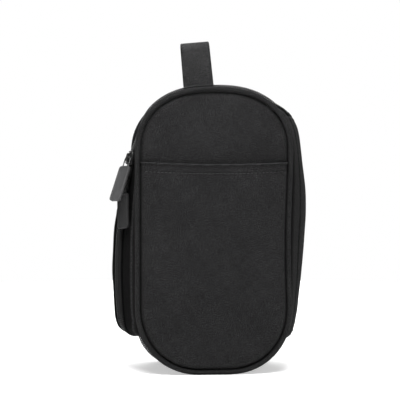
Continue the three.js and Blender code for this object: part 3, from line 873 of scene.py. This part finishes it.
def make_pad(name, body, seam_y, outward, crown, nodes):
    """The shell fabric over its foam: a crowned pad, swelled by a cloth simulation, whose edge
    turns in under the piping."""
    across = columns_across(41)
    rows = np.linspace(0, 0.994, 90)
    thickness = 4.6 * MM

    def outer(s, x, z):
        wave = 1.4 * MM * ripple(x, 0.6 * z, 50 * MM, 3) * crown_at(s, z)
        swell = crown * crown_at(s, z) + belly_at(s, z)
        return seam_y + outward * (swell - 1.6 * MM * groove_at(x, z) + wave)

    def inner(s, x, z):
        return seam_y + outward * (crown * crown_at(s, z) - thickness)

    front = panel_grid(0.7 * MM, rows, across, outer)
    pad = sheet_body(name, front, panel_grid(2.6 * MM, rows, across, inner))

    def still(points):
        place = np.minimum(np.abs(points[:, 0]) / (SIDE - 3 * MM), 1)
        ends = smooth(0.42, 0.46, np.abs(points[:, 2] / HEIGHT - 0.5))
        rim = np.maximum(smooth(0.86, 0.95, place), ends)
        return np.maximum(rim, (outward * (points[:, 1] - seam_y) < -1.5 * MM))

    simulate_padding(pad, 4.0, 2.2 * MM, still)
    subdivide(pad)
    lay_flat_uv(pad)
    finish_piece(pad, "shell_fabric", body, *nodes)


def pocket_top(x):
    """The pocket's mouth sags a little between its ends."""
    return POCKET_TOP + MM - 2.2 * MM * (1 - (x / SIDE) ** 2)


def make_pocket():
    """A slip pocket of one layer, its top edge turned in and stitched down."""
    across = columns_across(81)
    hem = 6.8 * MM
    side_inset = 1.7 * MM

    def height_share(z):
        return smooth(15 * MM, 90 * MM, z)

    def face(s, x, z, inset, hem_from):
        lift = POCKET_SLACK * (1 - s**4) * height_share(z) + belly_at(s, z)
        crown = FRONT_CROWN * crown_at(s, z)
        wave = 0.3 * MM * ripple(0.8 * x, 0.5 * z, 60 * MM, 8) * crown_at(s, z)
        thread = 0.28 * MM * hump(z, hem_from, 0.7 * MM)
        bead = 0.15 * MM * smooth(hem_from, hem_from + 1.5 * MM, z)
        dip = 3.0 * MM * groove_at(x, z)
        rim = 0.6 * MM * smooth(hem - 1.8 * MM, hem - 0.7 * MM, z - hem_from) if inset else 0
        return FRONT - crown - lift - wave - bead + thread + dip - rim - 0.35 * MM - inset

    sections = []
    rows_below, rows_near = 45, 22
    for s in across:
        side = -1.0 if s < 0 else 1.0
        top = float(pocket_top(float(seam(side, 0.55, side_inset)[0]) * abs(s)))
        q_near, q_top = q_at(top - 12 * MM), q_at(top)
        below = np.linspace(0, q_near, rows_below + 1)[:-1]
        x, z = seam(side, np.concatenate([below, np.linspace(q_near, q_top, rows_near)]), side_inset)
        x = x * abs(s)
        line = top - hem
        outer = grid(x, face(s, x, z, CLOTH, line), z)
        inner = grid(x, face(s, x, z, 0, line), z)
        centre = (outer[-1] + inner[-1]) / 2
        radius = abs(outer[-1][1] - inner[-1][1]) / 2
        turns = np.radians([30, 60, 90, 120, 150])
        fold = centre + grid(0, -radius * np.cos(turns), radius * np.sin(turns))
        sections.append(np.concatenate([outer, fold, inner[::-1]]))
    sections = np.array(sections)
    pocket = loft("slip_pocket", sections, uv=flat_uv(sections))
    mouth = sections[1:-1, rows_below + rows_near] - [0, 0.1 * MM, 0]
    # A lighter tube along the mouth: a painted highlight on the pocket's top edge.
    edge = tube("slip_pocket_edge", mouth, 0.62 * MM, 10, np.array([0.0, 0.0, 1.0]))
    finish_piece(edge, "painted_highlight_edge", "lid")
    finish_piece(pocket, "shell_fabric", "lid", "front_pocket")
    xs = np.arange(-57 * MM, 57 * MM, 3.2 * MM)
    share = xs / (SIDE - side_inset)
    zs = pocket_top(xs) - hem
    ys = face(share, xs, zs, CLOTH, zs) - 0.1 * MM
    points = grid(xs, ys, zs)
    outs = grid(0.0, -1.0, 0 * xs)
    thread = stitches("slip_pocket_stitches", points, unit(np.gradient(points, axis=0)), outs)
    finish_piece(thread, "thread", "lid", slot="shell_fabric")


def make_lining_floor(name, body, seam_y, outward, crown, node_name):
    across = columns_across(41)
    rows = np.linspace(0, 0.99, 70)
    depth = 4.9 * MM

    def face(extra):
        def y(s, x, z):
            crease = 0.35 * MM * ripple(x, z, 38 * MM, 5) * crown_at(s, z)
            return seam_y + outward * (crown * crown_at(s, z) - depth - extra + crease - 0.35 * MM)

        return panel_grid(3.4 * MM, rows, across, y)

    floor = sheet_body(name, face(0), face(0.7 * MM))
    finish_piece(floor, "lining", body, node_name)


# ---------- Piping ----------


def make_piping(name, body, y, node_name):
    """A cord in bias-cut fabric, which wrinkles a little round the corners."""
    ways = even_ways(0, ROUND, 1.6 * MM, 0)[:-1]
    places = Places(ways)
    run = np.concatenate([[0], np.cumsum(np.hypot(np.diff(places.x), np.diff(places.z)))])
    top = smooth(SHOULDER - 10 * MM, SHOULDER + 15 * MM, places.z)
    bend = np.maximum(top, smooth(60 * MM, 35 * MM, places.z))
    turns = circle(20)
    sections = []
    for t in turns:
        crease = 0.07 * MM * bend * np.sin(2 * math.pi * run / (4.3 * MM) + 2.2 * math.sin(t))
        waver = 0.08 * MM * ripple(run, 0, 31 * MM, 2)
        radius = PIPING_R - 0.12 * MM + crease + waver
        reach = radius * math.cos(t)
        x = places.x + places.square[:, 0] * reach
        z = places.z + places.square[:, 1] * reach
        sections.append(grid(x, y + radius * math.sin(t), np.maximum(z, 0.0)))
    piping = loft(name, np.stack(sections, 1), closed=True)
    finish_piece(piping, "piping", body, node_name)


# ---------- Side walls ----------

RUN_START = Q_HIGH + 0.001
RUN_END = ROUND + Q_LOW - 0.001

# Depths behind the front seam
LID_GUSSET = (0.6 * MM, 12.6 * MM)
MAIN_GUSSET = (37.4 * MM, 84.2 * MM)
LID_STITCHES = 11.3 * MM
MAIN_STITCHES = 38.9 * MM
SPINE_GROOVE = 13.8 * MM

CLOTH = 1.1 * MM  # the gussets' and the pocket's thickness, backing included
PUCKER = 6.6 * MM


def off_floor(z):
    return smooth(4 * MM, 30 * MM, z)


def seam_dip(depth, reach):
    """How far the wall is drawn in where it is sewn to the front piping."""
    return -2.3 * MM * (1 - smooth(0.3 * reach, reach, depth))


def make_gussets():
    ways = even_ways(RUN_START, RUN_END, 2.2 * MM)

    def front_relief(run, depth, z):
        hem = 0.35 * MM * smooth(9 * MM, 9.6 * MM, depth)
        groove = -0.25 * MM * hump(depth, LID_STITCHES, 0.5 * MM)
        pucker = 0.12 * MM * np.sin(2 * math.pi * run / PUCKER) * smooth(7 * MM, 12 * MM, depth)
        wave = 0.25 * MM * ripple(run, depth, 34 * MM, 1) * arch(depth / (14 * MM))
        return (hem + groove + pucker + wave + seam_dip(depth, 10 * MM)) * off_floor(z)

    def back_relief(run, depth, z):
        near = depth - MAIN_STITCHES + 2.1 * MM
        hem = 0.35 * MM * (1 - smooth(3.4 * MM, 4 * MM, near))
        groove = -0.25 * MM * hump(depth, MAIN_STITCHES, 0.5 * MM)
        pucker = 0.14 * MM * np.sin(2 * math.pi * run / PUCKER) * (1 - smooth(1 * MM, 9 * MM, near))
        wave = 0.7 * MM * ripple(run, 1.3 * depth, 52 * MM, 4) * arch(near / (46 * MM))
        return (hem + groove + pucker + wave) * off_floor(z)

    front = band("lid_gusset", ways, np.linspace(*LID_GUSSET, 22), 0, CLOTH, relief=front_relief)
    # The gussets take darker copies of the shell's fabric, as painted shade.
    finish_piece(front, "lid_gusset_fabric", "lid", "front_gusset")
    back = band("main_gusset", ways, np.linspace(*MAIN_GUSSET, 34), 0, CLOTH, relief=back_relief)
    finish_piece(back, "gusset_fabric", "back_half", "back_gusset")
    for name, body, depth in (("lid", "lid", LID_STITCHES), ("main", "back_half", MAIN_STITCHES)):
        thread = stitch_wall(name + "_gusset_stitches", RUN_START, RUN_END, depth, 0.1 * MM)
        finish_piece(thread, "thread", body, slot="shell_fabric")


def make_spine():
    """The fabric that the lid folds on, one piece from seam to seam, spanning both halves."""
    ways = even_ways(Q_LOW - 0.01, Q_HIGH + 0.01, 1.6 * MM)

    def relief(run, depth, z):
        total = run[-1]
        fold = 0.5 * MM * (1 - smooth(4.2 * MM, 5 * MM, np.minimum(run, total - run)))
        groove = -1.0 * MM * hump(depth, SPINE_GROOVE, 0.7 * MM)
        wave = 0.6 * MM * ripple(run, 1.2 * depth, 48 * MM, 6) * arch(depth / DEPTH)
        return fold + groove + wave + seam_dip(depth, 7.5 * MM)

    depths = np.concatenate([np.arange(0.6, 16, 0.45), np.linspace(16.4, 84.4, 49)]) * MM
    spine = band("spine_fabric", ways, depths, -0.15 * MM, 1.3 * MM, relief=relief)
    # The spine takes a darker copy of the shell's fabric, as painted shade.
    finish_piece(spine, "spine_fabric", None, "spine_front", "spine_back")
    ways = even_ways(Q_LOW, Q_HIGH, 2.6 * MM)
    lining = band("spine_lining", ways, np.linspace(11, 34, 18) * MM, 1.7 * MM, 2.4 * MM)
    finish_piece(lining, "lining")
    for piece in (spine, lining):
        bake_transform(piece)


def make_linings():
    ways = even_ways(Q_LOW, Q_LOW + ROUND, 2.6 * MM)[:-1]

    def crease(run, depth, z):
        return -0.3 * MM * (1 + ripple(run, depth, 26 * MM, 9)) * off_floor(z)

    def wall(name, body, depths, node_name):
        piece = band(name, ways, depths, 1.9 * MM, 2.6 * MM, True, crease, LEFT_LOW + 4 * MM)
        finish_piece(piece, "lining", body, node_name)

    wall("lid_lining_wall", "lid", np.linspace(5.4, 13.0, 8) * MM, "front_lining_wall")
    wall("main_lining_wall", "back_half", np.linspace(31, 80, 28) * MM, "back_lining_wall")

    def bound(name, body, depths, node_name):
        piece = band(name, ways, depths, 3.1 * MM, 4.3 * MM, True, None, LEFT_LOW + 9 * MM)
        finish_piece(piece, "binding", body, node_name)

    bound("lid_binding", "lid", np.linspace(6.6, 9.0, 4) * MM, "front_binding")
    bound("main_binding", "back_half", np.linspace(76.0, 78.4, 4) * MM, "back_binding")


# ---------- Zip ----------

CHAIN_START = Q_HIGH + 0.014
CHAIN_END = ROUND + Q_LOW - 0.014


def make_tapes():
    ways = even_ways(RUN_START, RUN_END, 2.4 * MM)

    def make_tape(name, body, start, end, ridge, finish, node_name):
        def relief(run, depth, z):
            return 0.45 * MM * hump(depth, ridge, 1.1 * MM, 4)

        tape = band(name, ways, np.linspace(start, end, 16) * MM, 1.0 * MM, 1.5 * MM, relief=relief)
        finish_piece(tape, finish, body, node_name)

    make_tape("lid_zip_tape", "lid", 11, 24.2, 20.2 * MM, "zipper_tape", "zipper_tape_front")
    make_tape("main_zip_tape", "back_half", 25.8, 38.6, 29.8 * MM, "zipper_tape_back", "zipper_tape_back")


def make_coil(name, body, direction, node_name):
    """One half of the chain: a nylon thread wound flat. Its turns reach past the middle of the
    chain, between those of the other half."""
    length = run_along(Places(even_ways(CHAIN_START, CHAIN_END, MM)).at(ZIP_DEPTH))[-1]
    turns = int(length / TOOTH_PITCH)
    per_turn = 16
    count = turns * per_turn
    coarse = even_ways(CHAIN_START, CHAIN_END, 2 * MM)
    shift = 0.0 if direction > 0 else 0.5
    share = (np.arange(count) / per_turn + 0.5 + shift) / (turns + 1)
    ways = np.interp(share * (len(coarse) - 1), np.arange(len(coarse)), coarse)
    angle = 2 * math.pi * np.arange(count) / per_turn
    places = Places(ways)
    centre = places.at(ZIP_DEPTH)
    across = unit(places.at(ZIP_DEPTH + 0.5 * MM) - places.at(ZIP_DEPTH - 0.5 * MM)) * direction
    out = places.outward(ZIP_DEPTH)

    reach = 1.45 * MM + 1.75 * MM * squared(np.cos(angle), 0.55)
    rise = 0.1 * MM + 0.85 * MM * squared(np.sin(angle), 0.75)
    path = centre + across * reach[:, None] + out * rise[:, None]
    along = np.cross(across, out)
    coil = tube(name, path, 0.35 * MM, 7, along)
    finish_piece(coil, "zipper_coil", body, node_name)


def slider_matrix(height, roll):
    """x across the chain to the back, y out of the chain, z up along it. roll is how far, in
    radians, the chain faces to the front."""
    sine = (height - ARC_CENTRE.z) / LEFT_R
    cosine = math.sqrt(1 - sine * sine)
    along = Vector((sine, 0, cosine))
    out = Vector((-cosine, 0, sine)) * math.cos(roll) + Vector((0, -math.sin(roll), 0))
    across = out.cross(along)
    place = ARC_CENTRE + LEFT_R * Vector((-cosine, 0, sine))
    matrix = Matrix((across, out, along)).transposed().to_4x4()
    matrix.translation = place
    return matrix


def plate(half_length, width_at, levels):
    """A rounded plate in the x-z plane, through (y, inset) levels of its thickness."""
    x, z = rounded(48, 0.6, 0.6)
    width = width_at(z * half_length)
    return loft("plate", [grid(x * (width - inset), y, z * (half_length - inset)) for y, inset in levels])


def rounded_bar(path, width, thickness):
    """A bar of rounded rectangular section along a path in the y-z plane."""
    across, up = rounded(20, 0.3, 0.3)
    side = np.array([1.0, 0, 0])
    normal = np.cross(side, unit(np.gradient(path, axis=0)))
    section = side * across[:, None] * width / 2 + normal[:, None] * up[:, None] * thickness / 2
    return loft("bar", path[:, None] + section)


def make_slider(name, height, roll, nose):
    """A cast slider: two plates with side flanges, a divider at the nose and a bridge on top. nose
    is 1 where its wide end is up and -1 where it is down."""
    matrix = slider_matrix(height, math.radians(roll))

    def width_at(z):
        return mix(3.3, 4.3, smooth(-6 * MM, 5 * MM, nose * z)) * MM

    top = [(2.0, 0.35), (2.1, 0.05), (2.55, 0.0), (2.8, 0.12), (2.95, 0.5), (3.0, 1.2)]
    low = [(-3.15, 1.2), (-3.1, 0.5), (-2.95, 0.12), (-2.7, 0.0), (-2.42, 0.05), (-2.37, 0.35)]
    parts = [plate(6 * MM, width_at, np.array(levels) * MM) for levels in (top, low)]
    zs = np.linspace(-5, 5, 20)[:, None] * MM
    ring_x, ring_y = rounded(12, 0.5, 0.5)
    for side in (-1, 1):
        for low_y, high_y in ((1.5, 2.4), (-2.7, -1.95)):
            x = side * (width_at(zs) - 0.36 * MM) + 0.34 * MM * ring_x
            y = (high_y + low_y) / 2 * MM + (high_y - low_y) / 2 * MM * ring_y
            parts.append(loft("flange", grid(x, y, zs)))
    turn = circle(10)
    ys = np.linspace(-2.4, 2.2, 6)[:, None] * MM
    parts.append(loft("post", grid(0.4 * MM * np.cos(turn), ys, (nose * 4.4 + np.sin(turn)) * MM)))
    turn = np.linspace(0, math.pi, 26)
    bridge_y = (2.6 + 2.95 * squared(np.sin(turn), 0.5)) * MM
    bridge = grid(0, bridge_y, -3.95 * MM * squared(np.cos(turn), 0.7))
    parts.append(rounded_bar(bridge, 2.0 * MM, 0.9 * MM))
    slider = join(name + "_body", parts)
    slider.data.transform(matrix)
    finish_piece(slider, "slider_metal", name, name)
    return matrix


def rounded_loop(half, low, high, radius, per_corner=8):
    """Points (x, z) round a rounded rectangle, half wide each side of the middle."""
    points = []
    x, top, base = half - radius, high - radius, low + radius
    for quarter, (x, z) in enumerate(((x, top), (-x, top), (-x, base), (x, base))):
        for t in np.linspace(quarter * QUARTER, (quarter + 1) * QUARTER, per_corner):
            points.append((x + radius * math.cos(t), z + radius * math.sin(t)))
    return np.array(points)


def make_pull(which, slider, swing, skew, length, finish):
    """A wire link and a moulded tab that hangs on it."""
    body = "pull_" + which
    turn = Matrix.Rotation(math.radians(swing), 4, "X") @ Matrix.Rotation(math.radians(skew), 4, "Y")
    matrix = slider @ Matrix.Translation((0, PIVOT_OUT, 0)) @ turn
    half = 3.2 * MM
    loop = rounded_loop(half, -LINK_LENGTH, 0, 1.3 * MM)
    path = grid(loop[:, 0], 0.0, loop[:, 1])
    link = tube(f"link_{which}", path, WIRE_R - 0.03 * MM, 12, np.array([0.0, 1.0, 0.0]), closed=True)
    link.data.transform(matrix)
    finish_piece(link, "pull_wire", body, "pull_link_" + which)
    top = -LINK_LENGTH + 1.8 * MM
    rim = [(1.0, 0), (1.32, 0.25), (1.4, 0.7), (1.32, 0.95)]
    back = [(-1.0, 1.6), (-1.0, 1.25)] + [(-y, inset) for y, inset in rim[::-1]]
    sections = []
    for y, inset in back + rim + [(0.95, 1.25), (0.9, 1.6)]:
        inset = inset * MM
        loop = rounded_loop(TAB_HALF - inset, top - length + inset, top - inset, 2.6 * MM - inset, 10)
        sections.append(grid(loop[:, 0], y * MM, loop[:, 1]))
    tab = loft(f"tab_{which}", sections, uv=flat_uv(np.array(sections)))
    cut_slot(tab, top)
    tab.data.transform(matrix)
    finish_piece(tab, finish, body, "pull_tab_" + which)


def combine(tab, operation, scale, z):
    """Cuts the newest object out of the tab or adds it, at a size and height in the tab's middle."""
    other = bpy.context.object
    other.scale = scale
    other.location = (0, 0, z)
    bpy.context.view_layer.update()
    change = tab.modifiers.new(operation, "BOOLEAN")
    change.operation = operation
    change.object = other
    change.solver = "EXACT"
    apply_modifiers(tab)
    bpy.data.objects.remove(other)


def cut_slot(tab, top):
    """The slot in a tab's top end that the link's wire passes through, with a rib across it."""
    bpy.ops.mesh.primitive_cube_add(size=1)
    combine(tab, "DIFFERENCE", (8.2 * MM, 1.7 * MM, 4.6 * MM), top - 1.5 * MM)
    bpy.ops.mesh.primitive_uv_sphere_add(segments=20, ring_count=10, radius=1)
    combine(tab, "UNION", (1.9 * MM, 1.3 * MM, 0.5 * MM), top - 0.4 * MM)


# ---------- Strap ----------


def make_strap():
    """The hanging loop: a folded strap, stitched along its edges and sewn to the top."""
    foot = Vector(joints["loop_tilt"]["pos_m"])
    foot_r = STRAP + 0.1 * MM
    top_r = EYE_R + STRAP / 2
    top_z = STRAP_LENGTH - foot_r - EYE_R - STRAP
    lean = math.asin((EYE_R + STRAP - foot_r) / top_z)
    start = np.array([-STRAP / 2 - 0.05 * MM, -3.8 * MM])  # below the seam that it is sewn into
    rise = np.array([-top_r * math.cos(lean), top_z - top_r * math.sin(lean)])
    front = mix(start, rise, np.linspace(0, 1, 40)[:-1, None])
    turns = np.linspace(-lean, math.pi + lean, 26)
    arc = np.stack([-top_r * np.cos(turns), top_z + top_r * np.sin(turns)], -1)
    line = np.concatenate([front, arc, front[::-1] * [-1, 1]])
    run = run_along(line)
    bow = 0.35 * MM * ripple(run, 0, 37 * MM, 1) * arch(run / run[-1])
    normal = left_of(line)
    line = line + normal * bow[:, None]
    half = STRAP_WIDTH / 2
    edge_r = 0.5 * MM
    rim = np.linspace(half - 2.4 * MM, half - edge_r, 8)
    width = np.concatenate([-rim[::-1], np.linspace(-half + 3 * MM, half - 3 * MM, 18), rim])
    inset = half - np.abs(width)
    puff = 0.16 * MM * (1 - hump(inset, 1.4 * MM, 0.55 * MM))
    thick = STRAP / 2 - 0.16 * MM + puff
    turns = np.radians([25, 50, 75, 90, 105, 130, 155])
    edge_x, edge_y = half - edge_r + edge_r * np.sin(turns), thick[-1] * np.cos(turns)
    section_x = np.concatenate([width, edge_x, width[::-1], -edge_x])
    section_y = np.concatenate([thick, edge_y, -thick[::-1], -edge_y])
    flat = line[:, None] + normal[:, None] * section_y[:, None]
    taper = 1.02 - 0.07 * np.clip(line[:, 1] / top_z, 0, 1)
    turn = Matrix.Translation(foot) @ Matrix.Rotation(-STRAP_LEAN, 4, "Y")
    strap = loft("strap_loop", grid(section_x * taper[:, None], flat[..., 0], flat[..., 1]))
    strap.data.transform(turn)
    finish_piece(strap, "webbing", None, "hang_loop")
    rows = []
    for offset in (-half + 1.4 * MM, half - 1.4 * MM):
        marks = np.arange(3 * MM, run[-1] - 3 * MM, 3.1 * MM)
        values = (line[:, 0], line[:, 1], normal[:, 0], normal[:, 1], taper)
        y, z, out_y, out_z, narrow = (np.interp(marks, run, value) for value in values)
        lift = STRAP / 2 - 0.12 * MM
        points = grid(offset * narrow, y + out_y * lift, z + out_z * lift)
        outs = unit(grid(0, out_y, out_z))
        rows.append(stitches("strap_row", points, unit(grid(0, out_z, -out_y)), outs))
    thread = join("strap_stitches", rows)
    thread.data.transform(turn)
    finish_piece(thread, "thread", slot="webbing")
    for piece in (strap, thread):
        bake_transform(piece)


# ---------- Inside pockets ----------


def make_mesh_pocket():
    """A knitted net of hexagons inside the lid, with an edge tape and an elastic hem."""
    size = 1.5 * MM
    y = (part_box("lid_mesh_pocket")[0].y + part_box("lid_mesh_pocket")[1].y) / 2
    bm = bmesh.new()
    cache = {}

    def corner(x, z):
        key = (round(x / (0.1 * MM)), round(z / (0.1 * MM)))
        if key not in cache:
            cache[key] = bm.verts.new((x, y, z))
        return cache[key]

    def inside(x, z):
        q = q_at(min(max(z, 8.5 * MM), MESH_TOP))
        left, _ = seam(-1.0, q, 6.5 * MM)
        right, _ = seam(1.0, q, 6.5 * MM)
        return left < x < right and z > 10 * MM

    for row in range(int((MESH_TOP + 2 * MM) / (1.5 * size))):
        z = 1.5 * size * row
        for column in range(-26, 27):
            x = math.sqrt(3) * size * (column + 0.5 * (row % 2))
            if z > 8.5 * MM and inside(x, z):
                turns = [math.radians(60 * k + 30) for k in range(6)]
                bm.faces.new([corner(x + size * math.cos(t), z + size * math.sin(t)) for t in turns])
    mesh = bpy.data.meshes.new("mesh_net")
    bm.to_mesh(mesh)
    bm.free()
    net = place_object("mesh_net", mesh)
    wire = net.modifiers.new("threads", "WIREFRAME")
    wire.thickness = 0.42 * MM
    wire.use_even_offset = False
    apply_modifiers(net)
    lay_flat_uv(net)
    finish_piece(net, "mesh", "lid", "lid_mesh_pocket")

    q_top = q_at(MESH_TOP + 3 * MM)
    ways = np.concatenate([np.linspace(q_top, 0, 60), -np.linspace(0, Q_FLAT, 6)[1:]])

    def edge_line(inset):
        right, left = (np.stack(seam(side, ways, inset), -1) for side in (1.0, -1.0))
        return np.concatenate([right, left[::-1][1:]])

    inner, outer = edge_line(8.5 * MM), edge_line(4.4 * MM)
    face = [(0, 0.25), (0.12, 0.5), (0.5, 0.55), (0.88, 0.5), (1, 0.25)]
    sections = []
    for share, lift in face + [(share, -lift) for share, lift in face[::-1]]:
        flat = mix(inner, outer, share)
        sections.append(grid(flat[:, 0], y + lift * MM, flat[:, 1]))
    edge = loft("mesh_edge_tape", np.stack(sections, 1))
    finish_piece(edge, "binding", "lid", slot="mesh")

    low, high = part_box("lid_mesh_binding")
    rim_y, rim_z = rounded(20, 0.6, 0.5)
    rim_z = (low.z + high.z) / 2 + (high.z - low.z) / 2 * rim_z
    xs = np.linspace(low.x, high.x, 90)[:, None]
    gather = 0.12 * MM * np.sin(2 * math.pi * xs / (2.6 * MM)) * np.cos(circle(20))
    hem = loft("mesh_elastic_hem", grid(xs, y + 0.85 * MM * rim_y + gather, rim_z))
    finish_piece(hem, "elastic", "lid", "lid_mesh_binding")


def make_elastic_loops():
    """Three loops in one band of ribbed elastic, tacked down between them."""
    low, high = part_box("elastic_loops")
    tail = 3 * MM
    reach = high.x - tail
    rise = high.y - low.y - 1.2 * MM
    xs = np.concatenate([[-reach - tail], np.linspace(-reach, reach, 121), [reach + tail]])
    wave = rise / 2 * (1 - np.cos(3 * math.pi * (xs + reach) / reach)) * (np.abs(xs) <= reach)
    middle = np.stack([xs, high.y - 0.6 * MM - wave], -1)
    out, up = rounded(28, 0.5, 0.35)
    flat = middle[:, None] + left_of(middle)[:, None] * out[:, None] * 0.5 * MM
    zs = (low.z + high.z) / 2 + (high.z - low.z) / 2 * up
    ribbon = loft("elastic_band", grid(flat[..., 0], flat[..., 1], zs))
    finish_piece(ribbon, "elastic", "back_half", "elastic_loops")
    tacks = []
    zs = np.arange(low.z + 2 * MM, high.z - 1.5 * MM, 1.1 * MM)
    for k in range(4):
        x = -reach + k * 2 * reach / 3
        points = grid(x, high.y - 1.15 * MM, zs)
        outs = grid(0.0, -1.0, 0 * zs)
        alongs = grid(0.92, 0.0, 0.39 + 0 * zs)
        tacks.append(stitches("tack", points, alongs, outs, 2.2 * MM, 0.22 * MM))
    finish_piece(join("elastic_tacks", tacks), "thread", "back_half", slot="elastic")


def make_stops():
    """A rounded plastic stop across the chain at each of its ends."""
    upper_run = (CHAIN_START - 0.004, CHAIN_START + 0.006)
    lower_run = (CHAIN_END - 0.006, CHAIN_END + 0.004)
    for name, run in (("upper", upper_run), ("lower", lower_run)):
        stop = band("stop_" + name, np.linspace(*run, 9), np.linspace(23, 27, 5) * MM, -1.6 * MM, 1.3 * MM)
        finish_piece(stop, "zipper_coil", "back_half", "zip_stop_" + name)


make_camera()
make_studio()
make_pad("front_pad", "lid", FRONT, -1, FRONT_CROWN, ["front_panel", "front_foam"])
make_pad("back_pad", "back_half", BACK, 1, BACK_CROWN, ["back_panel", "back_foam"])
make_pocket()
make_lining_floor("lid_lining_floor", "lid", FRONT, -1, FRONT_CROWN, "front_lining_floor")
make_lining_floor("main_lining_floor", "back_half", BACK, 1, BACK_CROWN, "back_lining_floor")
make_piping("lid_piping", "lid", FRONT, "front_piping")
make_piping("main_piping", "back_half", BACK, "back_piping")
make_gussets()
make_spine()
make_linings()
make_tapes()
make_coil("lid_zip_coil", "lid", -1, "zipper_coil_front")
make_coil("main_zip_coil", "back_half", 1, "zipper_coil_back")
upper = make_slider("slider_upper", height=180 * MM, roll=37.5, nose=-1)
lower = make_slider("slider_lower", height=158 * MM, roll=41.5, nose=1)
make_pull("upper", upper, swing=14.5, skew=11.5, length=TAB_LENGTH + 2 * MM, finish="pull_rubber")
# The lower tab's darker rubber is painted shade.
make_pull("lower", lower, swing=0, skew=16, length=TAB_LENGTH, finish="pull_dark")
make_strap()
make_mesh_pocket()
make_elastic_loops()
make_stops()
